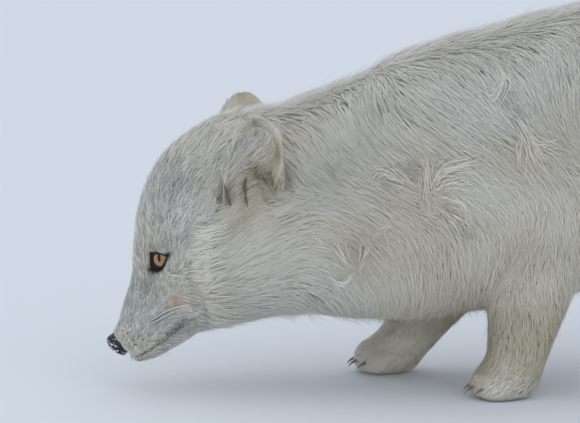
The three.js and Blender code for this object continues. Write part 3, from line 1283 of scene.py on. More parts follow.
    def _by_node(self, node: Array, what: str) -> Array:
        """Read one of the pelts' numbers, with the head graded from muzzle to crown and cheek.

        Args:
            node: The node nearest to each vertex.
            what: The number's name.

        Returns:
            The number at each vertex, with lengths in metres.
        """
        value = np.array([getattr(pelt, what) for pelt in PELTS.values()])[node]
        muzzle, face, crown, cheek = (getattr(pelt, what) for pelt in (MUZZLE, FACE, CROWN, CHEEK))
        behind, _, up = self.frame.local(places(self.piece.data)).T
        reach = np.hypot(behind - LIP_FRONT[0], up - LIP_FRONT[1])
        graded = muzzle + (face - muzzle) * smoothstep(*TO_FACE, reach)
        graded = graded + (crown - graded) * smoothstep(*TO_CROWN, reach)
        on_cheek = smoothstep(*TO_CHEEK, behind + 0.10 * (up - 70)) * smoothstep(*CHEEK_TOP, up)
        graded = graded + (cheek - graded) * on_cheek
        value = np.where(np.isin(node, node_numbers(*HEAD_NODES)), graded, value)
        return value * (1.0 if what in PURE_NUMBERS else MM)

    def _shape_face(self, node: Array) -> None:
        """Round the ears, raise the brows, cheeks and lip pads, and press in the line of the mouth.

        Args:
            node: The node nearest to each vertex.
        """
        mesh = self.piece.data
        xyz, out = places(mesh), normals(mesh)
        behind, aside, up = self.frame.local(xyz).T
        aside = np.abs(aside)
        for ear in self.ears:
            height, along, _, _ = ear.measure(xyz)
            share = np.clip((height - ear.widest) / ear.above, 0.0, 0.96)
            fuller = (1.0 - share**2.8) ** (1 / 2.8) / np.sqrt(1.0 - share**2) - 1.0
            here = (height > ear.widest) & self._on_ear(ear, node)
            xyz += ear.axes[1] * (np.where(here, along * fuller, 0.0) * MM)[:, None]
        over = nose_front(behind, aside, up)
        xyz[:, 0] -= over * NOSE_EDGE_OUT[0] * MM
        xyz[:, 2] -= over * NOSE_EDGE_OUT[1] * MM
        rise = np.zeros(len(xyz))
        for swell in SWELLS:
            away = np.linalg.norm(np.stack([behind, aside, up], 1) - swell.middle, axis=1)
            rise += swell.height * np.exp(-((away / swell.reach) ** 2))
        away, along = line_distance(np.stack([behind, up], 1), MOUTH_LINE)
        mouth = np.exp(-((away / 0.9) ** 2)) * smoothstep(1.0, 0.9, along) * (behind < 56)
        lip = np.exp(-(((away - 2.2) / 1.3) ** 2)) * smoothstep(1.0, 0.85, along) * (behind < 56)
        rise += 0.35 * lip - 1.3 * mouth
        move_to(mesh, xyz + out * (rise * MM)[:, None])

    def _open_lids(self) -> None:
        """Wrap the skin round the eyes and open the lids."""
        mesh = self.piece.data
        ends = edge_ends(mesh)
        xyz = places(mesh)
        for eye in self.eyes:
            offset = xyz - eye.middle
            reach = np.linalg.norm(offset, axis=1)
            facing = (offset @ eye.axes[2]) / np.maximum(reach, 1e-9)
            near = (reach < 19 * MM) & (facing > 0)
            beyond = np.full(len(xyz), FAR_OUTSIDE)
            beyond[near] = eye.beyond_lids(xyz[near])
            flat = np.radians(beyond) * eye.radius
            lid = eye.radius + (0.45 + 0.25 * smoothstep(0.0, 1.2, flat / MM)) * MM
            over = lid + (np.maximum(reach, eye.radius + 0.3 * MM) - lid) * smoothstep(0.8, 5.0, flat / MM)
            groove = smoothstep(2.6, 1.0, eye.corner_distance(xyz) / MM) * smoothstep(0.0, 1.5, flat / MM)
            over = over - 0.7 * MM * groove
            aim = np.where(flat < 0, eye.radius - 1.0 * MM, over)
            hold = smoothstep(0.0, 0.35, facing) * smoothstep(18.5, 13.0, reach / MM) * near
            moved = eye.middle + offset * ((reach + (aim - reach) * hold) / np.maximum(reach, 1e-9))[:, None]
            calm = np.where(near & (flat > 2.0 * MM), 0.35, 0.0)
            xyz = spread(moved, ends, 6, calm)
        move_to(mesh, xyz)

    def _unwrap(self) -> None:
        """Unwrap the skin, which also places the coat's patches."""
        pick(self.piece)
        bpy.ops.object.mode_set(mode="EDIT")
        bpy.ops.mesh.select_all(action="SELECT")
        bpy.ops.uv.smart_project(angle_limit=1.15, island_margin=0.004, scale_to_bounds=True)
        bpy.ops.object.mode_set(mode="OBJECT")
        self.piece.data.uv_layers[0].name = BAKE_MAP

    def _read_fields(self, node: Array) -> SkinFields:
        """Work out the lie, depth and size of the coat.

        Args:
            node: The node nearest to each vertex.

        Returns:
            What the coat reads at each vertex.
        """
        mesh = self.piece.data
        ends = edge_ends(mesh)
        xyz = places(mesh)
        out = unit(spread(normals(mesh), ends, 3))
        words = ("length", "width", "gap", *PURE_NUMBERS)
        numbers = {what: spread(self._by_node(node, what), ends, 10) for what in words}
        numbers["depth"] = self._depth(node, ends)
        numbers["loose"] *= 1.0 + 1.6 * self._rough(xyz)
        inner = self._inside_ear(xyz, out, node)
        rim, _ = self._ear_rim(xyz, node)
        cup = inner * (1.0 - rim)
        low = self._ear_pocket(xyz)
        numbers["length"] = numbers["length"] * (1.0 - 0.35 * rim) + cup * 7.0 * MM
        numbers["length"] *= 1.0 - 0.6 * self._ear_tip(xyz, node)
        numbers["depth"] += cup * (2.6 + 5.0 * low) * MM
        numbers["gap"] += cup * (0.25 - 0.25 * low) * MM
        numbers["tone"] += inner * 1.2
        numbers["depth"] *= 1.0 - 0.5 * self._ear_groove(xyz, node)
        lids = self._by_lids(xyz)
        for what, share in LESS_BY_LIDS.items():
            numbers[what] *= 1.0 - share * lids
        numbers["depth"] *= 1.0 - 0.6 * self._ruff_groove(xyz)
        numbers["length"] *= 1.0 - 0.5 * smoothstep(700.0, 785.0, self.frame.local(xyz)[:, 0])
        lie, bare = self._lie(xyz, out, node, ends), self._bare(xyz, out)
        return SkinFields(xyz, out, lie, node, **numbers, bare=bare)

    def _ruff_groove(self, xyz: Array) -> Array:
        """Find the hollow between the short coat of the face and the ruff of the cheek.

        Args:
            xyz: The skin's vertices.

        Returns:
            1 in the hollow and 0 elsewhere.
        """
        behind, aside, up = self.frame.local(xyz).T
        away, along = line_distance(np.stack([behind, up], 1), RUFF_LINE)
        groove = smoothstep(3.2, 0.8, away) * smoothstep(1.0, 0.85, along)
        return groove * smoothstep(0.0, 0.15, along) * (np.abs(aside) > 20)

    def _rough(self, xyz: Array) -> Array:
        """How matted the coat is at each place."""
        behind, _, up = self.frame.local(xyz).T
        return sum(np.exp(-(((behind - x) / a) ** 2) - ((up - z) / b) ** 2) for x, z, a, b in MATTED)

    def _inside_ear(self, xyz: Array, out: Array, node: Array) -> Array:
        """Find the cups of the ears.

        Args:
            xyz: The skin's vertices.
            out: The way out of the skin at each.
            node: The node nearest to each.

        Returns:
            1 in the cup of an ear and 0 elsewhere.
        """
        inside = np.zeros(len(xyz))
        for ear in self.ears:
            height, _, deep, _ = ear.measure(xyz)
            here = self._on_ear(ear, node)
            found = smoothstep(0.0, 0.35, out @ ear.axes[2]) * smoothstep(4.0, 10.0, height)
            inside = np.maximum(inside, found * here * smoothstep(4.0, 0.0, deep))
        return inside

    def _ear_rim(self, xyz: Array, node: Array) -> tuple[Array, Array]:
        """Find the rims of the ears.

        Args:
            xyz: The skin's vertices.
            node: The node nearest to each.

        Returns:
            1 on the rim at the back of an ear and 0 elsewhere, and the way the rim runs, rising.
        """
        rim, way = np.zeros(len(xyz)), np.zeros((len(xyz), 3))
        for ear in self.ears:
            height, along, _, _ = ear.measure(xyz)
            here = self._on_ear(ear, node)
            found = here * smoothstep(0.62, 0.86, ear.reach(height, along))
            found = found * smoothstep(-0.6, 0.0, along / ear.half)
            lean = -(height - ear.widest) / ear.above * ear.half / np.maximum(np.abs(along), 2.0)
            rises = ear.axes[0] + ear.axes[1] * np.where(height > ear.widest, lean, 0.15)[:, None]
            way = np.where((found > rim)[:, None], rises, way)
            rim = np.maximum(rim, found)
        return rim, unit(way + 1e-9)

    def _by_lids(self, xyz: Array) -> Array:
        """Find the skin beside the lids of an eye.

        Args:
            xyz: The skin's vertices.

        Returns:
            1 beside the lids and 0 elsewhere.
        """
        beside = np.zeros(len(xyz))
        for eye in self.eyes:
            near = eye.faces(xyz, 18)
            beyond = np.radians(eye.beyond_lids(xyz[near])) * eye.radius / MM
            beside[near] = np.maximum(beside[near], smoothstep(5.0, 2.0, beyond))
        return beside

    def _ear_tip(self, xyz: Array, node: Array) -> Array:
        """Find the rounded tops of the ears.

        Args:
            xyz: The skin's vertices.
            node: The node nearest to each.

        Returns:
            1 along the top of an ear and 0 elsewhere.
        """
        top = np.zeros(len(xyz))
        for ear in self.ears:
            height, along, _, _ = ear.measure(xyz)
            here = self._on_ear(ear, node)
            found = here * smoothstep(0.6, 0.9, ear.reach(height, along))
            top = np.maximum(top, found * smoothstep(ear.widest, ear.widest + 14, height))
        return top

    def _ear_pocket(self, xyz: Array) -> Array:
        """Find the low hind parts of the ears' cups, which long hair fills.

        Args:
            xyz: The skin's vertices.

        Returns:
            1 in such a part and 0 elsewhere.
        """
        pocket = np.zeros(len(xyz))
        for ear in self.ears:
            height, along, _, _ = ear.measure(xyz)
            here = xyz[:, 1] * ear.side.value > 0
            found = here * smoothstep(54.0, 36.0, height)
            pocket = np.maximum(pocket, found * smoothstep(-8.0, 2.0, along))
        return pocket

    def _ear_groove(self, xyz: Array, node: Array) -> Array:
        """Find the hollows where the coat gives way behind the ears.

        Args:
            xyz: The skin's vertices.
            node: The node nearest to each.

        Returns:
            1 in such a hollow and 0 elsewhere.
        """
        groove = np.zeros(len(xyz))
        for ear in self.ears:
            height, along, _, half = ear.measure(xyz)
            here = ~np.isin(node, node_numbers(*EAR_NODES)) & (xyz[:, 1] * ear.side.value > 0)
            near = smoothstep(9.0, 2.0, np.abs(along - half - 1.0)) * smoothstep(8.0, 18.0, height)
            groove = np.maximum(groove, near * here * smoothstep(70.0, 56.0, height))
        return groove

    def _lie(self, xyz: Array, out: Array, node: Array, ends: Array) -> Array:
        """Find the lie of the coat along the skin.

        Args:
            xyz: The skin's vertices.
            out: The way out of the skin at each.
            node: The node nearest to each.
            ends: The two vertices of each edge.

        Returns:
            The direction at each vertex.
        """
        behind, _, up = self.frame.local(xyz).T
        guides = np.array([(guide.behind, guide.up, guide.back, guide.rise) for guide in LIES])
        gap = (behind[:, None] - guides[:, 0]) ** 2 + (up[:, None] - guides[:, 1]) ** 2
        weight = 1.0 / (gap + 40.0) ** 2
        weight /= weight.sum(1, keepdims=True)
        lie = np.stack([weight @ guides[:, 2], np.zeros(len(xyz)), weight @ guides[:, 3]], 1)
        sides = np.where(xyz[:, 1] < 0, -1.0, 1.0)
        inner = self._inside_ear(xyz, out, node)
        for number, name in enumerate(PELTS):
            key = next((key for key in LIMB_LIES if name.startswith(key)), None)
            if key is None:
                continue
            here = node == number
            x, y, z = LIMB_LIES[key]
            lie[here] = np.stack([np.full(here.sum(), x), y * sides[here], np.full(here.sum(), z)], 1)
        fan = unit((xyz - self.frame.at(*EAR_FAN)) * np.array([1.0, 0.0, 1.0]))
        lie = lie + inner[:, None] * (fan - lie)
        rim, rises = self._ear_rim(xyz, node)
        lie = lie + rim[:, None] * (rises - lie)
        lie = unit(lie) + np.array([BACKWARDS, 0.0, 0.0])
        trunk = np.isin(node, node_numbers(*TRUNK_NODES))
        lie[:, 0] += TOP_BACKWARDS * trunk * smoothstep(0.84, 0.98, out[:, 2])
        ear = np.isin(node, node_numbers(*EAR_NODES))
        for rounds in (10, 5):
            lie = lie - out * (lie * out).sum(1, keepdims=True)
            lie = spread(unit(lie), ends, rounds, np.where(ear, 0.05, 0.5))
        return unit(lie - out * (lie * out).sum(1, keepdims=True))

    def _bare(self, xyz: Array, out: Array) -> Array:
        """Find where no coat grows: the nose, the eyes and their rims, and the soles.

        Args:
            xyz: The skin's vertices.
            out: The way out of the skin at each.

        Returns:
            True for each vertex without a coat.
        """
        low, high = (np.array(corner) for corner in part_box("nose"))
        nose = (((xyz - (low + high) / 2) / ((high - low) / 2)) ** 2).sum(1) < 0.80
        behind, aside, up = self.frame.local(xyz).T
        nose |= nose_front(behind - 0.4, aside, up) > 0.05
        bare = nose | ((xyz[:, 2] < self.sole_top * MM) & (out[:, 2] < -0.6))
        for eye in self.eyes:
            near = eye.faces(xyz, 16)
            rim = np.full(len(xyz), FAR_OUTSIDE)
            rim[near] = eye.beyond_lids(xyz[near])
            bare |= near & (rim < self.bare_rim)
            bare |= near & (eye.corner_distance(xyz) < self.bare_corner * MM)
        return bare


# ------------------------------------------------------------ the coat


@dataclass(frozen=True)
class TuftShape:
    """The shape of a tuft: a pointed root, rings of three points and a pointed tip.

    Attributes:
        spots: Where the root, the rings and the tip lie, as shares of the length.
        widths: The width at each ring, as a share of the tuft's own.
        thick: The thickness as a share of the width.
    """

    spots: tuple[float, ...]
    widths: tuple[float, ...]
    thick: float = 0.3

    @property
    def rings(self) -> int:
        """How many rings a tuft has."""
        return len(self.widths)

    @property
    def points(self) -> int:
        """How many vertices a tuft has."""
        return 3 * self.rings + 2

    def faces(self) -> tuple[Array, Array, Array]:
        """Return the triangles of one tuft and the place of each of their corners on a patch.

        Returns:
            Vertex numbers in rows of three, for each corner a place from 0 to 1 both ways, and True for each
            triangle of the underside.
        """
        root, tip = 3 * self.rings, 3 * self.rings + 1
        levels = np.linspace(0.0, 1.0, self.rings + 2)
        faces: list[tuple[int, int, int]] = []
        spots: list[Pair] = []
        for side in range(3):
            left, right = side / 3, (side + 1) / 3
            middle = (left + right) / 2
            a, b = side, (side + 1) % 3
            faces.append((root, b, a))
            spots += [(middle, 0.0), (right, levels[1]), (left, levels[1])]
            for ring in range(self.rings - 1):
                low, high = levels[ring + 1], levels[ring + 2]
                c, d = a + 3 * ring, b + 3 * ring
                faces += [(c, d, d + 3), (c, d + 3, c + 3)]
                spots += [(left, low), (right, low), (right, high), (left, low), (right, high), (left, high)]
            last = 3 * (self.rings - 1)
            faces.append((a + last, b + last, tip))
            spots += [(left, levels[-2]), (right, levels[-2]), (middle, 1.0)]
        under = np.arange(len(faces)) >= len(faces) * 2 // 3
        return np.array(faces, np.int32), np.array(spots), under


FINE_TUFT = TuftShape((0.0, 0.45, 1.0), (1.0,))
LOCK_TUFT = TuftShape((0.0, 0.3, 0.65, 1.0), (0.95, 0.8))
LONG_HAIR = TuftShape((0.0, 0.15, 0.35, 0.55, 0.78, 1.0), (0.9, 1.0, 0.95, 0.7), 0.45)


def strands(
    lines: Array, outs: Array, wide: Array, shape: TuftShape, soft: Array
) -> tuple[Array, Array, Array]:
    """Put a closed tuft round each middle line.

    Args:
        lines: The root, the ring places and the tip of each tuft.
        outs: The outward direction at each of them.
        wide: The width of each tuft in metres.
        shape: The tufts' shape.
        soft: How far each tuft's shading turns from its own surface to the skin's, from 0 to 1.

    Returns:
        The vertices, the triangles and the direction that each corner of a triangle is shaded by.
    """
    count, rings = len(lines), shape.rings
    way = unit(lines[:, 2:] - lines[:, :-2])
    out = outs[:, 1:-1]
    side = unit(np.cross(way, out))
    ridge = np.cross(side, way)
    half = (wide[:, None] * np.array(shape.widths) / 2)[..., None]
    points = np.empty((count, shape.points, 3))
    above, below = np.empty_like(points), np.empty_like(points)
    for corner, across in enumerate((-1.0, 0.0, 1.0)):
        rise, facing_up = (0.7, 1.0) if across == 0.0 else (-0.3, 0.35)
        these = slice(corner, 3 * rings, 3)
        points[:, these] = lines[:, 1:-1] + half * (across * side + 2 * shape.thick * rise * ridge)
        above[:, these] = across * side + facing_up * ridge
        below[:, these] = 0.5 * across * side - ridge
    points[:, -2], points[:, -1] = lines[:, 0], lines[:, -1]
    above[:, -2:] = out[:, [0, -1]]
    below[:, -2:] = -out[:, [0, -1]]
    skin_out = np.concatenate([np.repeat(out, 3, axis=1), out[:, :1], out[:, -1:]], 1)
    share = soft[:, None, None]
    above = unit((1.0 - share) * above + share * skin_out)
    below = unit((1.0 - share) * below - share * skin_out)
    points[:, :, 2] = np.maximum(points[:, :, 2], 0.4 * MM)
    faces, _, under = shape.faces()
    every = (faces[None] + (np.arange(count) * shape.points)[:, None, None]).reshape(-1, 3)
    facing = np.where(under[None, :, None, None], below[:, faces], above[:, faces])
    return points.reshape(-1, 3), every, facing.reshape(-1, 3)


@dataclass
class Tufts:
    """Tufts of one shape, ready to be made into a mesh.

    Attributes:
        shape: Their shape.
        lines: The root, the ring places and the tip of each.
        outs: The outward direction at each of them.
        wide: The width of each in metres.
        soft: How far the shading of each turns from its own surface to the skin's, from 0 to 1.
        shade: The lightness of each.
        patch: The place of each on the bake map.
        paint: Colours that hold all over them, whatever the fox's markings say.
    """

    shape: TuftShape
    lines: Array
    outs: Array
    wide: Array
    soft: Array
    shade: Array
    patch: Array
    paint: dict[str, float] = field(default_factory=dict)


def tuft_piece(name: str, groups: list[Tufts], markings: Markings) -> bpy.types.Object:
    """Make one mesh of tufts, with its colours, its bake map and its shading.

    Args:
        name: The piece's name.
        groups: The tufts.
        markings: The colours of the fox.

    Returns:
        The piece.
    """
    xyz, faces, facing, roles, marks, patches = [], [], [], [], [], []
    for tufts in groups:
        shape, count = tufts.shape, len(tufts.lines)
        points, triangles, turned = strands(tufts.lines, tufts.outs, tufts.wide, shape, tufts.soft)
        faces.append(triangles + sum(len(p) for p in xyz))
        xyz.append(points)
        facing.append(turned)
        roles.append(np.tile(np.append(np.tile([0, 1, 2], shape.rings), [3, 3]), count))
        held = markings.at(points)
        held["along"] = np.tile(np.append(np.repeat(shape.spots[1:-1], 3), [0.0, 1.0]), count)
        held["across"] = np.tile(np.append(np.tile([0.0, 0.5, 1.0], shape.rings), [0.5, 0.5]), count)
        held["shade"] = np.repeat(tufts.shade, shape.points)
        marks.append(held | {what: np.full(len(points), share) for what, share in tufts.paint.items()})
        patches.append((tufts.patch[:, None] + (shape.faces()[1] - 0.5)[None] * PATCH).reshape(-1, 2))
    piece = mesh_of(name, np.concatenate(xyz), np.concatenate(faces))
    for what in marks[0]:
        write_attribute(piece.data, what, np.concatenate([held[what] for held in marks]))
    layer = piece.data.uv_layers.new(name=BAKE_MAP)
    layer.data.foreach_set("uv", np.clip(np.concatenate(patches), 0.0, 1.0).astype(np.float32).ravel())
    ends = np.concatenate(roles)[edge_ends(piece.data)]
    rim = (ends != 1).all(1) & (ends.sum(1) != 2)
    piece.data.attributes.new("sharp_edge", "BOOLEAN", "EDGE").data.foreach_set("value", rim)
    shading = piece.data.attributes.new("custom_normal", "FLOAT_VECTOR", "CORNER")
    shading.data.foreach_set("vector", np.concatenate(facing).astype(np.float32).ravel())
    log.info("%s: %d tufts, %d triangles", name, sum(len(t.lines) for t in groups), len(piece.data.polygons))
    return piece


@dataclass(frozen=True)
class CoatPart:
    """One piece of the coat.

    Attributes:
        name: The piece's name.
        nodes: The nodes it covers.
        side: The side it covers, or None for both.
        fine: The share of its tufts that are fine and not locks.
        short: True for the short tufts only, False for the long ones only, None for both.
    """

    name: str
    nodes: tuple[str, ...]
    side: Side | None
    fine: float = 0.85
    short: bool | None = None


def coat_parts() -> list[CoatPart]:
    """List the pieces of the coat, from head to tail.

    Returns:
        The pieces.
    """
    parts = []
    for side in Side:
        word = side.word
        parts.append(CoatPart(f"coat_face_{word}", HEAD_NODES, side, 1.0, True))
        parts.append(CoatPart(f"coat_head_{word}", HEAD_NODES, side, 0.85, False))
        parts.append(CoatPart(f"coat_ear_{word}", (f"ear_{word}",), None, 1.0))
        for node in TRUNK_NODES:
            parts.append(CoatPart(f"coat_{node}_{word}", (node,), side))
        for node in ("fore", "hind"):
            parts.append(CoatPart(f"coat_{node}leg_{word}", (f"{node}leg_{word}",), None))
            parts.append(CoatPart(f"coat_{node}paw_{word}", (f"{node}paw_{word}",), None, 1.0))
    for node in TAIL_NODES:
        parts.append(CoatPart(f"coat_{node}", (node,), None))
    return parts


@dataclass
class Ground:
    """The skin as tufts find it: roots anywhere on its faces, and the nearest place to any point.

    Attributes:
        skin: The skin.
        tree: Its vertices as a tree.
        corners: The three vertices of each of its triangles.
        maps: The places of these corners on the bake map.
        spots: The place of each vertex on the bake map.
        area: The area of each triangle.
    """

    skin: Skin
    tree: KDTree = field(init=False)
    corners: Array = field(init=False)
    maps: Array = field(init=False)
    spots: Array = field(init=False)
    area: Array = field(init=False)

    def __post_init__(self) -> None:
        """Read the skin's triangles and plant its vertices in a tree."""
        mesh = self.skin.piece.data
        fields = self.skin.fields
        self.tree = point_tree(fields.place)
        mesh.calc_loop_triangles()
        self.corners = read(mesh.loop_triangles, "vertices", 3, np.int32)
        loops = read(mesh.loop_triangles, "loops", 3, np.int32)
        self.maps = read(mesh.uv_layers[BAKE_MAP].data, "uv", 2)[loops]
        self.spots = np.zeros((len(fields.place), 2))
        self.spots[self.corners.ravel()] = self.maps.reshape(-1, 2)
        a, b, c = (fields.place[self.corners[:, i]] for i in range(3))
        self.area = np.linalg.norm(np.cross(b - a, c - a), axis=1) / 2

    def nearest(self, xyz: Array) -> Array:
        """The vertex nearest to each place."""
        return nearest_in(self.tree, xyz)

    def onto(self, xyz: Array) -> tuple[Array, Array]:
        """Drop places onto the skin.

        Args:
            xyz: Places in metres.

        Returns:
            The dropped places and the vertices nearest to them.
        """
        near = self.nearest(xyz)
        out = self.skin.fields.normal[near]
        lift = ((xyz - self.skin.fields.place[near]) * out).sum(1, keepdims=True)
        return xyz - out * lift, near


@dataclass
class Coat:
    """The winter coat: tufts rooted in the skin that lie along it and overlap.

    Attributes:
        ground: The skin.
        markings: The colours of the fox.
        heights: The height of root, rings and tip, as shares of the coat's depth.
        under: The share of tufts that lie under the rest.
        locks: How many tufts share a lock.
        guard: The share of tufts that stand above the rest.
        wild: The heights of such a tuft.
        seed: The seed of the coat's chance.
    """

    ground: Ground
    markings: Markings
    heights: tuple[float, ...] = (-0.05, 0.6, 0.88, 1.0)
    under: float = 0.3
    locks: int = 12
    guard: float = 0.06
    wild: tuple[float, ...] = (-0.05, 0.62, 1.0, 1.3)
    seed: int = 12

    def build(self) -> list[bpy.types.Object]:
        """Grow every piece of the coat.

        Returns:
            The pieces.
        """
        return [
            self._grow(part, np.random.default_rng(self.seed + number))
            for number, part in enumerate(coat_parts())
        ]

    def _grow(self, part: CoatPart, draw: np.random.Generator) -> bpy.types.Object:
        """Grow one piece of the coat.

        Args:
            part: The piece.
            draw: The source of chance.

        Returns:
            The piece's tufts as one mesh.
        """
        fields = self.ground.skin.fields
        face, share = self._roots(part, draw)
        lines, outs, near = self._lines(face, share, draw)
        mottle = Waves(0.0035, 41).at(lines[:, 0]) + 0.6 * Waves(0.0022, 42).at(lines[:, 0])
        shade = (self._gather(lines, draw) + 0.6 * mottle) * fields.tone[near]
        fine = draw.random(len(face)) < part.fine
        wide = fields.width[near] * draw.uniform(0.7, 1.25, len(face))
        patch = (self.ground.maps[face] * share[..., None]).sum(1)
        groups = []
        for shape, chosen in ((FINE_TUFT, fine), (LOCK_TUFT, ~fine)):
            held, held_out = lines[chosen], outs[chosen]
            if shape is FINE_TUFT:
                held, held_out = self._with_one_ring(held), self._with_one_ring(held_out)
            soft = fields.soft[near[chosen]]
            groups.append(Tufts(shape, held, held_out, wide[chosen], soft, shade[chosen], patch[chosen]))
        return tuft_piece(part.name, groups, self.markings)

    @staticmethod
    def _with_one_ring(rows: Array) -> Array:
        """Bring the two rings of each lock's line together into the one ring of a fine tuft."""
        return np.stack([rows[:, 0], 0.55 * rows[:, 1] + 0.45 * rows[:, 2], rows[:, 3]], 1)

    def _roots(self, part: CoatPart, draw: np.random.Generator) -> tuple[Array, Array]:
        """Choose the roots of a piece.

        Args:
            part: The piece.
            draw: The source of chance.

        Returns:
            The skin triangle of each root and its three shares of that triangle's corners.
        """
        fields, corners = self.ground.skin.fields, self.ground.corners
        first = corners[:, 0]
        wanted = np.isin(fields.node[first], node_numbers(*part.nodes))
        wanted &= ~fields.bare[corners].any(1)
        if part.side is not None:
            wanted &= (fields.place[corners, 1].mean(1) * part.side.value) >= 0
        if part.short is not None:
            wanted &= (fields.length[first] < 12 * MM) == part.short
        number = self.ground.area / fields.gap[corners].mean(1) ** 2 * wanted
        total = np.cumsum(number)
        count = int(total[-1])
        face = np.searchsorted(total, (np.arange(count) + draw.random(count)) * total[-1] / count)
        a, b = np.sqrt(draw.random(count)), draw.random(count)
        return np.minimum(face, len(total) - 1), np.stack([1 - a, a * (1 - b), a * b], 1)

    def _lines(
        self, face: Array, share: Array, draw: np.random.Generator
    ) -> tuple[Array, Array, Array]:
        """Lead the middle line of each tuft along the skin.

        Args:
            face: The triangle of each root.
            share: Its shares of the triangle's corners.
            draw: The source of chance.

        Returns:
            The line's places for each tuft, the outward direction at each, and the vertex nearest to each
            root.
        """
        fields, corners = self.ground.skin.fields, self.ground.corners[face]
        count = len(face)

        def blend(values: Array) -> Array:
            """Blend a vertex field over each root's triangle."""
            held = values[corners]
            return (held * (share[..., None] if held.ndim == 3 else share)).sum(1)

        place = blend(fields.place)
        out = unit(blend(fields.normal))
        near = corners[np.arange(count), share.argmax(1)]
        guard = draw.random(count) < self.guard
        length = blend(fields.length) * draw.uniform(0.75, 1.15, count)
        length = length * (1.0 + 0.15 * Waves(0.03, 21).at(place))
        length = np.where(guard, 1.12 * length, length)
        low = draw.random(count) < self.under
        high = np.where(low, draw.uniform(0.78, 0.94, count), draw.uniform(0.94, 1.0, count))
        wild = np.array(self.wild) * draw.uniform(0.85, 1.15, (count, 1))
        rings = np.where(guard[:, None], wild, self.heights)
        turn = np.radians(7.0 * Waves(0.07, 31).at(place) + 5.0 * Waves(0.02, 32).at(place))
        turn = turn + np.radians(blend(fields.loose)) * draw.normal(0.0, 1.0, count)
        heading = self._turned(fields.lie[near], out, turn)
        foot = place
        at, outs = np.empty((count, 4, 3)), np.empty((count, 4, 3))
        at[:, 0] = foot + out * (self.heights[0] * blend(fields.depth))[:, None]
        outs[:, 0] = out
        for ring in (1, 2, 3):
            step = LOCK_TUFT.spots[ring] - LOCK_TUFT.spots[ring - 1]
            ahead = foot + heading * (length * step)[:, None]
            dropped, here = self.ground.onto(ahead)
            over = (fields.normal[here] * out).sum(1) > 0.25
            foot = np.where(over[:, None], dropped, 0.5 * (foot + ahead))
            led = unit(0.3 * heading + 0.7 * self._turned(fields.lie[here], fields.normal[here], turn))
            led = unit(led - fields.normal[here] * (led * fields.normal[here]).sum(1, keepdims=True))
            heading = np.where(over[:, None], led, heading)
            out = np.where(over[:, None], fields.normal[here], out)
            at[:, ring] = foot + out * (rings[:, ring] * high * fields.depth[here])[:, None]
            outs[:, ring] = out
        return at, outs, near

    @staticmethod
    def _turned(lie: Array, out: Array, turn: Array) -> Array:
        """Turn directions that lie on the skin about its outward direction."""
        return lie * np.cos(turn)[:, None] + np.cross(out, lie) * np.sin(turn)[:, None]

    def _gather(self, lines: Array, draw: np.random.Generator) -> Array:
        """Draw neighbouring tufts together into locks.

        Args:
            lines: The middle lines, which are changed in place.
            draw: The source of chance.

        Returns:
            A lightness from -1 to 1 for each tuft, much alike within a lock.
        """
        count, rings = len(lines), lines.shape[1]
        leaders = draw.choice(count, max(1, count // self.locks), replace=False)
        lock = nearest_in(point_tree(lines[leaders, 0]), lines[:, 0])
        pull = draw.uniform(0.0, 0.14, len(leaders))[lock] * draw.uniform(0.6, 1.0, count)
        share = (np.arange(rings) / (rings - 1)) ** 1.2
        lines += (lines[leaders[lock]] - lines) * (pull[:, None] * share)[:, :, None]
        return 0.55 * draw.normal(0, 0.6, len(leaders))[lock] + 0.45 * draw.normal(0, 0.6, count)


# A line seen from the side, behind the nose tip and up, and the share of each colour named.
Line = tuple[Pair, ...]
Paint = tuple[tuple[str, float], ...]


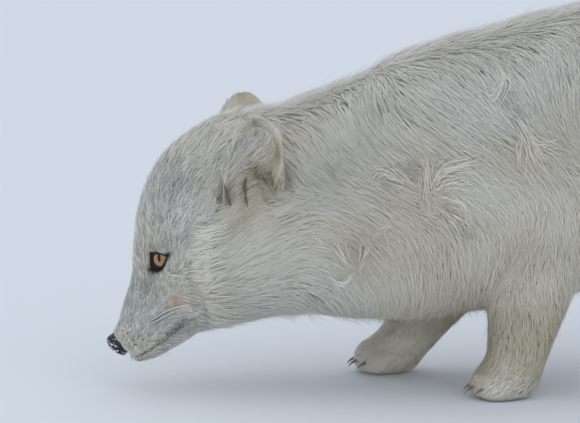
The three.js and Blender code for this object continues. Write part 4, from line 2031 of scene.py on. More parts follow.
@dataclass(frozen=True)
class Spray:
    """A bundle of loose hairs that lies over the coat, in millimetres.

    Attributes:
        line: Points of the bundle's line seen from the side, behind the nose tip and up.
        count: How many hairs there are.
        width: The width of a hair.
        stray: How far hairs lie from the line at their root and at their tip.
        lift: The height of their root, middle and tip over the coat.
        reach: The least and the most share of the line that a hair follows.
        way: The direction of the hairs, back and up, where they don't follow the line.
        last_way: That direction at the end of the line, where it isn't the same.
        length: The mean length of such hairs.
        paint: Their colours.
        sideways: True where the lift is counted straight out to the side from the skin itself.
        wild: How much the hairs turn and wave.
    """

    line: Line
    count: int
    width: float
    stray: Pair = (1.0, 2.0)
    lift: Triple = (0.0, 0.8, 0.8)
    reach: Pair = (0.5, 0.9)
    way: Pair | None = None
    last_way: Pair | None = None
    length: float = 0.0
    paint: Paint = ()
    sideways: bool = False
    wild: float = 0.22

    def paths(self, draw: np.random.Generator) -> Array:
        """Lay the hairs out seen from the side.

        Args:
            draw: The source of chance.

        Returns:
            The points of each hair, behind the nose tip and up.
        """
        knots = np.array(self.line, float)
        spots = np.array(LONG_HAIR.spots)
        if self.way is None:
            reach = draw.uniform(*self.reach, self.count)
            start = draw.random(self.count) * (1.0 - reach)
            share = start[:, None] + reach[:, None] * spots
            along = self._curve(knots, share)
        else:
            share = draw.random((self.count, 1))
            start = self._curve(knots, share)
            length = self.length * draw.uniform(0.6, 1.3, self.count)
            first, last = (math.atan2(way[1], way[0]) for way in (self.way, self.last_way or self.way))
            turn = first + (last - first) * share[:, 0] + draw.normal(0.0, self.wild, self.count)
            bend = turn[:, None] + draw.normal(0.0, self.wild, (self.count, 1)) * spots
            along = start + np.stack([np.cos(bend), np.sin(bend)], 2) * (length[:, None] * spots)[..., None]
        ahead = unit(np.gradient(along, axis=1))
        across = np.stack([-ahead[..., 1], ahead[..., 0]], 2)
        aside = draw.normal(0.0, 0.5, (self.count, 1))
        away = aside * (self.stray[0] + (self.stray[1] - self.stray[0]) * spots)
        wave = np.sin(spots * draw.uniform(3, 8, (self.count, 1)) + draw.uniform(0, 6, (self.count, 1)))
        return along + across * (away + wave * 1.6 * self.wild * self.stray[1] * spots)[..., None]

    @staticmethod
    def _curve(knots: Array, share: Array) -> Array:
        """Find places on a smooth curve through knots.

        Args:
            knots: The knots.
            share: How far along the curve each place is, from 0 to 1.

        Returns:
            The places.
        """
        padded = np.concatenate([2 * knots[:1] - knots[1:2], knots, 2 * knots[-1:] - knots[-2:-1]])
        at = np.clip(share, 0.0, 1.0) * (len(knots) - 1)
        first = np.minimum(at.astype(int), len(knots) - 2)
        return smooth_curve(*(padded[first + step] for step in range(4)), (at - first)[..., None])


CREAM = (("cream", 1.0), ("warm", 0.1), ("hollow", 0.0))
MILKY = (("cream", 0.3), ("hollow", 0.0))
WHITE = (("cream", 0.4), ("hollow", 0.0))
# SHADED paints shade: dark hairs that stand for the shadow under the mats and along the crease below the eye.
SHADED = (("dark", 0.38), ("hollow", 0.0))
BLACKISH = (("dark", 0.78),)
BROWNISH = (("dark", 0.5), ("warm", 0.5))

# The line that the hind fringe of the lips grows from.
LIP_STRETCH = ((31, 31), (41, 40.5), (50, 49))


def mat(line: Line, count: int, stray: Pair, lift: Triple, reach: Pair = (0.3, 0.8)) -> Spray:
    """Matted hairs that follow a line over the coat."""
    return Spray(line, count, 0.4, stray, lift, reach, paint=MILKY)


def pocket(line: Line, count: int, stray: Pair, way: Pair, length: float) -> Spray:
    """Short dark hairs deep in the coat beside a mat, painting the shadow under it."""
    return Spray(line, count, 0.5, stray, (-4.0, 0.1, 0.0), way=way, length=length, paint=SHADED)


def ruff(line: Line, count: int, way: Pair, last_way: Pair, length: float) -> Spray:
    """Lay out the front edge of the cheek's ruff, whose hairs cross its line.

    Args:
        line: The edge's line seen from the side.
        count: How many hairs there are.
        way: Their direction, back and up, where the line starts.
        last_way: Their direction where it ends.
        length: Their mean length.

    Returns:
        The bundle.
    """
    return Spray(
        line, count, 0.36, (8.0, 3.0), (-2.0, 0.8, -0.6), way=way, last_way=last_way, length=length,
        paint=WHITE, wild=0.08,
    )


def slit(line: Line, count: int, stray: Pair) -> Spray:
    """Nearly black hairs in a narrow hollow of an ear, painting the shade in it."""
    return Spray(line, count, 0.4, stray, (5.0, 7.0, 6.0), (0.35, 0.7), paint=BLACKISH, sideways=True)


def fringe(count: int, width: float, stray: Pair, dark: float) -> Spray:
    """Lay out short hairs that rise from the hind part of the lips.

    Args:
        count: How many hairs there are.
        width: The width of a hair.
        stray: How far hairs lie from the line at their root and at their tip.
        dark: How black they are, from 0 to 1.

    Returns:
        The bundle.
    """
    return Spray(
        LIP_STRETCH, count, width, stray, (-0.6, 0.5, 0.9), way=(0.5, 0.85), length=4.6,
        paint=(("dark", dark),),
    )


def whisker(line: Line, width: float, lift: Triple, paint: Paint) -> Spray:
    """One long whisker."""
    return Spray(line, 1, width, (0.0, 0.0), lift, (1.0, 1.0), paint=paint, sideways=True)


MATS = (
    mat(((197, 134), (183, 142), (172, 145), (163, 141)), 26, (2.0, 6.0), (-1.0, 0.8, 0.2), (0.3, 0.7)),
    mat(((191, 160), (198, 152), (198, 140), (197, 118)), 24, (4.0, 4.0), (-1.0, 1.0, 0.4)),
    mat(((199, 136), (206, 146), (218, 150), (248, 149)), 26, (3.0, 9.0), (-0.5, 0.8, 0.0)),
    mat(((199, 134), (212, 141), (232, 143)), 16, (2.0, 7.0), (-0.5, 0.7, 0.0)),
    mat(((200, 132), (211, 133), (222, 127), (225, 107)), 20, (3.0, 4.0), (-0.5, 0.9, 0.3)),
    mat(((203, 130), (216, 119), (224, 112)), 14, (3.0, 5.0), (-0.5, 0.8, 0.2)),
    mat(((252, 182), (262, 167), (267, 156), (276, 150)), 26, (3.0, 7.0), (-0.5, 0.9, 0.2)),
    mat(((258, 168), (272, 162), (286, 159)), 20, (3.0, 8.0), (-0.5, 0.8, 0.2)),
    mat(((260, 168), (257, 158), (262, 146)), 14, (3.0, 6.0), (-0.5, 0.8, 0.2)),
    mat(((247, 204), (247, 195), (241, 188), (236, 186)), 16, (3.0, 5.0), (-1.0, 0.7, 0.2)),
    mat(((142, 108), (147, 98), (154, 90)), 16, (7.0, 1.0), (-1.0, 0.5, 0.4)),
    mat(((162, 106), (159, 98), (154, 90)), 14, (5.0, 1.0), (-1.0, 0.5, 0.4)),
    mat(((154, 90), (148, 84), (141, 84), (137, 91)), 14, (1.0, 3.0), (-0.5, 0.7, 0.2)),
    mat(((177, 118), (170, 113), (164, 108)), 10, (2.0, 3.0), (-1.0, 0.6, 0.2)),
)
# Painted shadow: dark hairs deep in the coat beside and under the mats.
SHADOW_POCKETS = (
    pocket(((168, 139), (180, 146), (193, 150)), 60, (5.0, 6.0), (0.9, 0.2), 9),
    pocket(((203, 126), (214, 122), (221, 117)), 50, (4.0, 5.0), (0.7, -0.7), 8),
    pocket(((248, 196), (250, 188), (258, 176)), 40, (5.0, 5.0), (0.3, -0.9), 8),
)
RUFFS = (
    ruff(((62, 54), (60, 62), (56, 70), (51, 78)), 160, (0.98, -0.15), (0.92, 0.38), 25),
    ruff(((51, 78), (49.5, 88), (50, 100), (54, 113)), 220, (0.92, 0.38), (0.96, 0.25), 26),
)
# The first two bundles are painted shade: black hairs in the slits at the front of each ear.
EAR_SLITS = (
    slit(((70.5, 143), (73, 134), (76, 126)), 44, (1.1, 0.8)),
    slit(((86, 145), (84.5, 136), (86.5, 125)), 40, (0.8, 0.5)),
    Spray(
        ((85.5, 143), (88, 149), (95, 153), (104, 156)), 26, 0.34, (1.0, 1.2), (4.0, 6.0, 4.0), (0.3, 0.6),
        paint=BROWNISH, sideways=True,
    ),
)
CREASES = (
    Spray(
        ((38.5, 79), (41.5, 81), (46, 81.5), (50, 80)), 16, 0.3, (0.9, 0.9), (-0.2, 0.5, 0.0), (0.4, 0.8),
        paint=MILKY,
    ),
    # Painted shadow: dark hairs along the crease below the eye.
    Spray(((39, 81), (42, 83), (47, 83.5)), 12, 0.3, (0.8, 0.8), (-1.0, 0.0, -0.4), (0.4, 0.8), paint=SHADED),
)
LIP_FRINGE = (fringe(120, 0.32, (0.5, 1.5), 0.8), fringe(160, 0.34, (1.5, 2.5), 0.2))
MAIN_WHISKERS = (
    whisker(((25.0, 46.5), (36, 55), (45, 60), (53, 62.5)), 0.6, (2.0, 6.0, 10.0), CREAM),
    whisker(((26.5, 45.0), (37, 52.5), (45.5, 58), (52, 60.5)), 0.6, (2.0, 6.0, 10.0), CREAM),
    whisker(((25.2, 45.9), (36.2, 54.4), (44, 58.8)), 0.5, (1.8, 5.0, 8.0), BLACKISH),
    whisker(((26.7, 44.4), (37.2, 51.9), (44, 56.4)), 0.5, (1.8, 5.0, 8.0), BLACKISH),
)


@dataclass
class LooseHairs:
    """The hairs that lie over the coat: tangles with their painted shadows, edges of the ruff, slits in the
    ears painted dark as their shade, lip fringes and whiskers.

    Attributes:
        ground: The skin.
        markings: The colours of the fox.
        seed: The seed of the hairs' chance.
        dot_rows: How many rows of whisker roots a cheek has.
        dots: How many roots a row has.
        outside: How far aside a place lies that is surely outside the fox, in metres.
        tree: The skin's triangles as a tree.
    """

    ground: Ground
    markings: Markings
    seed: int = 5
    dot_rows: int = 3
    dots: int = 4
    outside: float = 0.3
    tree: BVHTree = field(init=False)

    def __post_init__(self) -> None:
        """Plant the skin's faces in a tree."""
        faces = [tuple(corner) for corner in self.ground.corners.tolist()]
        self.tree = BVHTree.FromPolygons(self.ground.skin.fields.place.tolist(), faces)

    def build(self) -> list[bpy.types.Object]:
        """Make the hairs of both sides.

        Returns:
            The pieces.
        """
        kinds = {
            "tangles": SHADOW_POCKETS + MATS,
            "ruff_edge": RUFFS,
            "ear_slits": EAR_SLITS + CREASES,
            "lip_fringe": LIP_FRINGE + self._dots(),
            "whiskers": MAIN_WHISKERS + self._fine_whiskers(),
        }
        pieces = []
        for side in Side:
            for kind, sprays in kinds.items():
                draw = np.random.default_rng(self.seed + len(pieces))
                groups = [self._lay(spray, side, draw) for spray in sprays]
                pieces.append(tuft_piece(f"{kind}_{side.word}", groups, self.markings))
        return pieces

    def _dot_spots(self) -> list[Pair]:
        """Lay out the whisker roots of a cheek, in rows.

        Returns:
            The roots, behind the nose tip and up.
        """
        draw = np.random.default_rng(self.seed)
        spots = []
        for row in range(self.dot_rows):
            for dot in range(self.dots):
                behind = 10.5 + 4.0 * dot + 1.4 * row
                up = 40.5 - 3.4 * row - 1.5 * dot
                spots.append((behind + draw.normal(0.0, 0.9), up + draw.normal(0.0, 0.8)))
        return spots

    def _dots(self) -> tuple[Spray, ...]:
        """Make the dark dots at the whisker roots.

        Returns:
            A bundle of short hairs for each dot.
        """
        draw = np.random.default_rng(self.seed + 1)
        found = []
        for x, z in self._dot_spots():
            dark = (("dark", draw.uniform(0.25, 0.9)),)
            count = int(draw.integers(3, 8))
            line = ((x, z), (x + 0.5, z + 0.4))
            lift = (-0.2, 0.4, 0.5)
            dot = Spray(line, count, 0.36, (0.3, 0.4), lift, way=(0.7, 0.6), length=1.5, paint=dark)
            found.append(dot)
        return tuple(found)

    def _fine_whiskers(self) -> tuple[Spray, ...]:
        """Make a thin whisker at the rear root of each row.

        Returns:
            A bundle of one hair for each row.
        """
        return tuple(
            Spray(
                ((x, z), (x + 12.0, z + 5.0 - 2.0 * row), (x + 24.0, z + 7.0 - 4.0 * row)),
                1, 0.3, (0, 0), (0.0, 4.0, 9.0), (1.0, 1.0), paint=CREAM,
            )
            for row, (x, z) in enumerate(self._dot_spots()[self.dots - 1 :: self.dots])
        )

    def _lay(self, spray: Spray, side: Side, draw: np.random.Generator) -> Tufts:
        """Lay one bundle on the coat of one side.

        Args:
            spray: The bundle.
            side: The side.
            draw: The source of chance.

        Returns:
            The bundle's hairs, without those that would leap from one part of the body to another.
        """
        paths = spray.paths(draw)
        count, places_along = paths.shape[:2]
        flat = paths.reshape(-1, 2)
        start = self.ground.skin.frame.nose_tip_x
        far = np.full(len(flat), self.outside * side.value)
        foot = np.stack([start + flat[:, 0] * MM, far, flat[:, 1] * MM], 1)
        down = Vector((0.0, -float(side.value), 0.0))
        hits = [self.tree.ray_cast(Vector(place), down)[0] for place in foot]
        spare = next(hit for hit in hits if hit is not None)
        foot = np.array([tuple(hit or spare) for hit in hits])
        near = self.ground.nearest(foot)
        fields = self.ground.skin.fields
        out = fields.normal[near]
        lift = np.tile(np.interp(LONG_HAIR.spots, (0.0, 0.5, 1.0), spray.lift) * MM, count)
        if spray.sideways:
            out = np.tile((0.0, float(side.value), 0.0), (len(foot), 1))
        else:
            lift = lift + fields.depth[near] * 0.98
        lines = (foot + out * lift[:, None]).reshape(count, places_along, 3)
        outs = out.reshape(lines.shape)
        leap = np.abs(np.diff(lines[..., 1], axis=1)).max(1)
        held = leap < 2.5 * MM + 1.2 * np.abs(np.diff(lines[..., [0, 2]], axis=1)).sum(2).max(1)
        patch = np.clip(self.ground.spots[near.reshape(count, places_along)[:, 0]], 0.0, 1.0)[held]
        count = int(held.sum())
        wide = spray.width * MM * draw.uniform(0.7, 1.25, count)
        shade = draw.normal(0.0, 1.2, count)
        soft = np.full(count, 0.5)
        return Tufts(LONG_HAIR, lines[held], outs[held], wide, soft, shade, patch, dict(spray.paint))


# ------------------------------------------------------------ finishes

Colour = Triple


@dataclass
class Wiring:
    """A shader node tree while it is being wired.

    Attributes:
        tree: The tree.
    """

    tree: bpy.types.NodeTree

    def add(self, kind: str, **settings: object) -> bpy.types.Node:
        """Add a node and set its settings.

        Args:
            kind: The node's type.
            settings: The node's own settings.

        Returns:
            The node.
        """
        node = self.tree.nodes.new(kind)
        for name, value in settings.items():
            setattr(node, name, value)
        return node

    def feed(self, socket: bpy.types.NodeSocket, value: object) -> None:
        """Link a socket to another one, or set it to a plain value.

        Args:
            socket: The socket to feed.
            value: The other socket or the value.
        """
        if isinstance(value, bpy.types.NodeSocket):
            self.tree.links.new(value, socket)
        elif isinstance(value, tuple) and len(value) == 3 and socket.type == "RGBA":
            socket.default_value = (*value, 1.0)
        else:
            socket.default_value = value

    def maths(self, operation: str, *values: object) -> bpy.types.NodeSocket:
        """Add a math node.

        Args:
            operation: What it does.
            values: The values or sockets that it works on.

        Returns:
            Its result.
        """
        node = self.add("ShaderNodeMath", operation=operation)
        for socket, value in zip(node.inputs, values):
            self.feed(socket, value)
        return node.outputs[0]

    def step(self, value: object, low: float, high: float) -> bpy.types.NodeSocket:
        """Add a smooth step from 0 at low to 1 at high.

        Args:
            value: The value or socket to step.
            low: Where the step starts.
            high: Where it ends.

        Returns:
            Its result.
        """
        node = self.add("ShaderNodeMapRange", interpolation_type="SMOOTHSTEP")
        for name, wanted in (("Value", value), ("From Min", low), ("From Max", high)):
            self.feed(node.inputs[name], wanted)
        return node.outputs["Result"]

    def mixed(self, share: object, a: object, b: object, blend: str = "MIX") -> bpy.types.NodeSocket:
        """Add a colour mix.

        Args:
            share: How much of the second colour there is.
            a: The first colour.
            b: The second colour.
            blend: How they are mixed.

        Returns:
            Its result.
        """
        node = self.add("ShaderNodeMix", data_type="RGBA", blend_type=blend, clamp_factor=True)
        for socket, value in zip((node.inputs[0], node.inputs[6], node.inputs[7]), (share, a, b)):
            self.feed(socket, value)
        return node.outputs[2]

    def attribute(self, name: str) -> bpy.types.NodeSocket:
        """Read one of the mesh's numbers."""
        return self.add("ShaderNodeAttribute", attribute_name=name).outputs["Fac"]

    def noise(self, vector: object, scale: float, detail: float = 2.0) -> bpy.types.NodeSocket:
        """Add soft noise.

        Args:
            vector: Where it is read.
            scale: How fine it is.
            detail: How many finer layers it has.

        Returns:
            Its value.
        """
        node = self.add("ShaderNodeTexNoise")
        self.feed(node.inputs["Vector"], vector)
        node.inputs["Scale"].default_value = scale
        node.inputs["Detail"].default_value = detail
        return node.outputs["Fac"]

    def cells(self, vector: object, scale: float) -> bpy.types.NodeSocket:
        """Add cells.

        Args:
            vector: Where they are read.
            scale: How fine they are.

        Returns:
            The distance to the middle of the nearest cell.
        """
        node = self.add("ShaderNodeTexVoronoi")
        self.feed(node.inputs["Vector"], vector)
        node.inputs["Scale"].default_value = scale
        return node.outputs["Distance"]

    def bump(self, height: object, strength: float, distance: float) -> bpy.types.NodeSocket:
        """Add a bump.

        Args:
            height: The height of the surface, from 0 to 1.
            strength: The bump's strength.
            distance: How high it stands at height 1, in metres.

        Returns:
            The bumped normal.
        """
        node = self.add("ShaderNodeBump")
        node.inputs["Strength"].default_value = strength
        node.inputs["Distance"].default_value = distance
        self.feed(node.inputs["Height"], height)
        return node.outputs["Normal"]

    def squares(self, a: object, b: object) -> bpy.types.NodeSocket:
        """Add the squares of two values and return their sum."""
        return self.maths("ADD", self.maths("MULTIPLY", a, a), self.maths("MULTIPLY", b, b))

    def combined(self, *values: object) -> bpy.types.NodeSocket:
        """Join up to three numbers to a vector.

        Args:
            values: The numbers or sockets along X, Y and Z.

        Returns:
            The vector.
        """
        node = self.add("ShaderNodeCombineXYZ")
        for socket, value in zip(node.inputs, values):
            self.feed(socket, value)
        return node.outputs[0]


def start_material(name: str, values: dict[str, object]) -> tuple[bpy.types.Material, Wiring, bpy.types.Node]:
    """Start a material and set the plain values of its shader.

    Args:
        name: The material's name.
        values: The value of each socket by its name.

    Returns:
        The material, its wiring and its shader.
    """
    material = bpy.data.materials.new(name)
    material.use_nodes = True
    shader = material.node_tree.nodes["Principled BSDF"]
    for socket, value in values.items():
        shader.inputs[socket].default_value = value
    return material, Wiring(material.node_tree), shader


def start_group(
    name: str, inputs: dict[str, str], outputs: dict[str, str]
) -> tuple[Wiring, bpy.types.Node, bpy.types.Node]:
    """Start a shader node group.

    Args:
        name: The group's name.
        inputs: The type of socket for each input's name.
        outputs: The type of socket for each output's name.

    Returns:
        The group's wiring and its input and output nodes.
    """
    tree = bpy.data.node_groups.new(name, "ShaderNodeTree")
    for way, sockets in (("INPUT", inputs), ("OUTPUT", outputs)):
        for socket, kind in sockets.items():
            tree.interface.new_socket(socket, in_out=way, socket_type=kind)
    wiring = Wiring(tree)
    return wiring, wiring.add("NodeGroupInput"), wiring.add("NodeGroupOutput")


NUMBER, PAINT, ARROW = "NodeSocketFloat", "NodeSocketColor", "NodeSocketVector"


@dataclass(frozen=True)
class FurColours:
    """The colours that skin and coat share.

    Attributes:
        root: Deep between the hairs: the pale underfur, made paler than the tips as painted light that lifts
            the shade among the hairs.
        tip: At the tips.
        straw: Where the coat is straw-coloured, and the painted warm light on the lower side of the trunk.
        slate: Where it is cool, and the painted cool of the sky's light on top of the back.
        soot: The lids and lips, and painted shade in the ears' slits, beside the mats and along the crease
            below the eye.
        rust: The stain beside the mouth.
        pit: Deep between the hairs where the coat is short and thin: the dark skin that shows there, with
            painted shade among the hairs.
        cream: Creamy fur and whiskers, and painted light on shaded parts of the legs, the ears and the face.
    """

    root: Colour = (0.86, 0.83, 0.74)
    tip: Colour = (0.80, 0.79, 0.74)
    straw: Colour = (0.62, 0.53, 0.35)
    slate: Colour = (0.58, 0.69, 0.83)
    soot: Colour = (0.022, 0.018, 0.016)
    rust: Colour = (0.78, 0.42, 0.20)
    pit: Colour = (0.29, 0.26, 0.20)
    cream: Colour = (0.90, 0.86, 0.75)

    def group(self) -> bpy.types.NodeTree:
        """Build the group that paints skin and coat.

        Returns:
            A group with the inputs Along, Shade and one for each marking, and the output Color.
        """
        inputs = {name: NUMBER for name in ("Along", "Shade", *(name.capitalize() for name in COLOURS))}
        wiring, given, result = start_group("fur_colours", inputs, {"Color": PAINT})
        at = given.outputs
        # Painted light: the roots are paler than the tips, which lifts the shade deep in the coat.
        depth = wiring.step(at["Along"], 0.0, 0.75)
        tint = wiring.mixed(depth, self.root, self.tip)
        # Painted shade: where the hollow marking holds, the colour darkens to the pit's towards the roots.
        deep = wiring.maths("MULTIPLY", wiring.step(at["Along"], 0.85, 0.25), at["Hollow"])
        tint = wiring.mixed(deep, tint, self.pit)
        tint = wiring.mixed(at["Cream"], tint, self.cream)
        light = wiring.maths("MULTIPLY_ADD", at["Shade"], 0.045, 0.965)
        tint = wiring.mixed(1.0, tint, light, "MULTIPLY")
        tint = wiring.mixed(at["Warm"], tint, wiring.mixed(1.0, tint, self.straw, "MULTIPLY"))
        tint = wiring.mixed(at["Cool"], tint, wiring.mixed(1.0, tint, self.slate, "MULTIPLY"))
        tint = wiring.mixed(at["Stain"], tint, self.rust)
        tint = wiring.mixed(at["Dark"], tint, self.soot)
        wiring.feed(result.inputs["Color"], tint)
        return wiring.tree


def strand_group() -> bpy.types.NodeTree:
    """Build the group that draws fine hair lines.

    Returns:
        A group with the inputs Vector and Strength and the outputs Tone and Height.
    """
    wiring, given, result = start_group(
        "hair_lines", {"Vector": ARROW, "Strength": NUMBER}, {"Tone": NUMBER, "Height": NUMBER}
    )
    lines = wiring.noise(given.outputs["Vector"], 1.0, 1.0)
    centred = wiring.maths("SUBTRACT", lines, 0.5)
    tone = wiring.maths("MULTIPLY_ADD", centred, given.outputs["Strength"], 1.0)
    wiring.feed(result.inputs["Tone"], tone)
    wiring.feed(result.inputs["Height"], lines)
    return wiring.tree


@dataclass(frozen=True)
class FurFinish:
    """The look of the skin or of the coat over it.

    Attributes:
        name: The material's name.
        paint: The group that paints fur.
        lines: The group that draws hair lines.
        on_tufts: True for the coat, whose tufts say where along and across them a place is.
    """

    name: str
    paint: bpy.types.NodeTree
    lines: bpy.types.NodeTree
    on_tufts: bool

    def build(self) -> bpy.types.Material:
        """Build the material.

        Returns:
            The material.
        """
        values = {"Roughness": 0.72, "Specular IOR Level": 0.25}
        material, wiring, shader = start_material(self.name, values)
        paint = wiring.add("ShaderNodeGroup", node_tree=self.paint)
        for name in COLOURS:
            wiring.feed(paint.inputs[name.capitalize()], wiring.attribute(name))
        lines = wiring.add("ShaderNodeGroup", node_tree=self.lines)
        lines.inputs["Strength"].default_value = 0.25
        if self.on_tufts:
            along, shade = wiring.attribute("along"), wiring.attribute("shade")
            wiring.feed(paint.inputs["Along"], along)
            wiring.feed(paint.inputs["Shade"], shade)
            across = wiring.maths("MULTIPLY", wiring.attribute("across"), 5.0)
            drawn_out = wiring.maths("MULTIPLY", along, 1.6)
            apart = wiring.maths("MULTIPLY", shade, 90.0)
            wiring.feed(lines.inputs["Vector"], wiring.combined(across, drawn_out, apart))
        else:
            paint.inputs["Along"].default_value = 0.3
            stretch = wiring.add("ShaderNodeMapping")
            stretch.inputs["Scale"].default_value = (900.0, 900.0, 260.0)
            wiring.feed(stretch.inputs["Vector"], wiring.add("ShaderNodeTexCoord").outputs["Object"])
            wiring.feed(lines.inputs["Vector"], stretch.outputs[0])
        tint = wiring.mixed(1.0, paint.outputs["Color"], lines.outputs["Tone"], "MULTIPLY")
        wiring.feed(shader.inputs["Base Color"], tint)
        wiring.feed(shader.inputs["Normal"], wiring.bump(lines.outputs["Height"], 0.2, 0.15 * MM))
        return material


@dataclass(frozen=True)
class EyeFinish:
    """A dark ball with an amber iris and an upright slit of a pupil under a wet surface.

    Attributes:
        name: The material's name.
        iris: The iris.
        iris_dark: Its darker fibres.
        ball: The ball round the iris.
        pupil: The pupil.
    """

    name: str = "fox_eye"
    iris: Colour = (0.50, 0.28, 0.13)
    iris_dark: Colour = (0.22, 0.10, 0.04)
    ball: Colour = (0.03, 0.022, 0.018)
    pupil: Colour = (0.004, 0.004, 0.005)

    def build(self) -> bpy.types.Material:
        """Build the material, which reads the place on the eye from eye_place.

        Returns:
            The material.
        """
        values = {"Roughness": 0.35, "Specular IOR Level": 0.2, "Coat Weight": 0.4, "Coat Roughness": 0.04}
        material, wiring, shader = start_material(self.name, values)
        split = wiring.add("ShaderNodeSeparateXYZ")
        place = wiring.add("ShaderNodeAttribute", attribute_name="eye_place").outputs["Vector"]
        wiring.feed(split.inputs[0], place)
        x, y, z = split.outputs
        reach = wiring.maths("SQRT", wiring.squares(x, y))
        turned = wiring.maths("MULTIPLY", wiring.maths("ARCTAN2", y, x), 9.0)
        spoke = wiring.combined(turned, wiring.maths("MULTIPLY", reach, 3.0))
        fibres = wiring.step(wiring.noise(spoke, 1.6), 0.3, 0.8)
        iris = wiring.mixed(fibres, self.iris, self.iris_dark)
        iris = wiring.mixed(wiring.step(reach, 0.56, 0.66), iris, self.ball)
        slit_x = wiring.maths("DIVIDE", x, 0.14)
        slit_y = wiring.maths("DIVIDE", wiring.maths("SUBTRACT", y, 0.12), 0.36)
        slit = wiring.squares(slit_x, slit_y)
        tint = wiring.mixed(wiring.step(slit, 1.35, 0.8), iris, self.pupil)
        tint = wiring.mixed(wiring.step(z, 0.3, 0.15), tint, self.ball)
        wiring.feed(shader.inputs["Base Color"], tint)
        return material


@dataclass(frozen=True)
class GrainFinish:
    """A plain finish with soft changes of tone and a fine bump, for the nose pad and the claws.

    Attributes:
        name: The material's name.
        light: Its lighter colour.
        dark: Its darker colour.
        scale: How fine the grain is, in grains to the metre.
        bump: The bump's height in millimetres.
        roughness: Its roughness.
        flakes: How large pale flakes are apart from what noise and frost add, or None for no flakes.
        flake: The flakes' colour.
    """

    name: str
    light: Colour
    dark: Colour
    scale: float
    bump: float
    roughness: float
    flakes: float | None = None
    flake: Colour = (0.60, 0.65, 0.71)

    def build(self) -> bpy.types.Material:
        """Build the material.

        Returns:
            The material.
        """
        material, wiring, shader = start_material(self.name, {"Roughness": self.roughness})
        place = wiring.add("ShaderNodeTexCoord").outputs["Object"]
        tint = wiring.mixed(wiring.noise(place, self.scale * 0.3), self.dark, self.light)
        if self.flakes is not None:
            size = wiring.maths("MULTIPLY_ADD", wiring.noise(place, self.scale * 0.5), 0.7, self.flakes)
            size = wiring.maths("MULTIPLY_ADD", wiring.attribute("frost"), 0.22, size)
            share = wiring.maths("SUBTRACT", size, wiring.cells(place, self.scale * 0.85))
            tint = wiring.mixed(wiring.step(share, 0.0, 0.10), tint, self.flake)
        wiring.feed(shader.inputs["Base Color"], tint)
        grain = wiring.cells(place, self.scale)
        wiring.feed(shader.inputs["Normal"], wiring.bump(grain, 0.6, self.bump * MM))
        return material


NOSE_FINISH = GrainFinish("fox_nose", (0.014, 0.013, 0.014), (0.004, 0.004, 0.005), 820.0, 0.2, 0.5, -0.05)
CLAW_FINISH = GrainFinish("fox_claw", (0.30, 0.25, 0.19), (0.14, 0.11, 0.08), 500.0, 0.05, 0.4)


def dress(piece: bpy.types.Object, material: bpy.types.Material, slot: str, *stands_for: str) -> None:
    """Give a piece its finish, hang it under the root and hide the solids that it replaces.

    Args:
        piece: The mesh object.
        material: Its material.
        slot: Not used.
        stands_for: The nodes that it replaces.
    """
    piece.data.materials.clear()
    piece.data.materials.append(material)
    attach(piece, "root")
    if stands_for:
        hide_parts(*stands_for)


# ------------------------------------------------------------ eyes and nose


@dataclass
class EyeBall:
    """One eye: a ball with a raised cornea.

    Attributes:
        site: Where it sits.
        upright: The way its pupil stands, for the left eye.
    """

    site: EyeSite
    upright: Triple = (-0.26, 0.0, 0.966)

    def build(self, material: bpy.types.Material) -> bpy.types.Object:
        """Make the eye.

        Args:
            material: The eye's finish.

        Returns:
            The eye.
        """
        deselect()
        bpy.ops.mesh.primitive_uv_sphere_add(segments=64, ring_count=48, radius=1.0, location=ORIGIN)
        piece = bpy.context.object
        piece.name = piece.data.name = f"eyeball_{self.site.side.word}"
        bpy.ops.object.shade_smooth()
        local = places(piece.data)
        gaze = unit(np.array(self.site.gaze) * self.site.flip)
        upright = np.array(self.upright) * self.site.flip
        upright = unit(upright - gaze * (upright @ gaze))
        axes = np.array([np.cross(upright, gaze), upright, gaze])
        cornea = 1.0 + 0.07 * smoothstep(0.62, 0.95, local[:, 2])
        grown = local * cornea[:, None] * self.site.radius
        move_to(piece.data, grown @ axes + self.site.middle)
        made = piece.data.attributes.new("eye_place", "FLOAT_VECTOR", "POINT")
        made.data.foreach_set("vector", local.astype(np.float32).ravel())
        dress(piece, material, "eye", f"eye_{self.site.side.word}")
        return piece


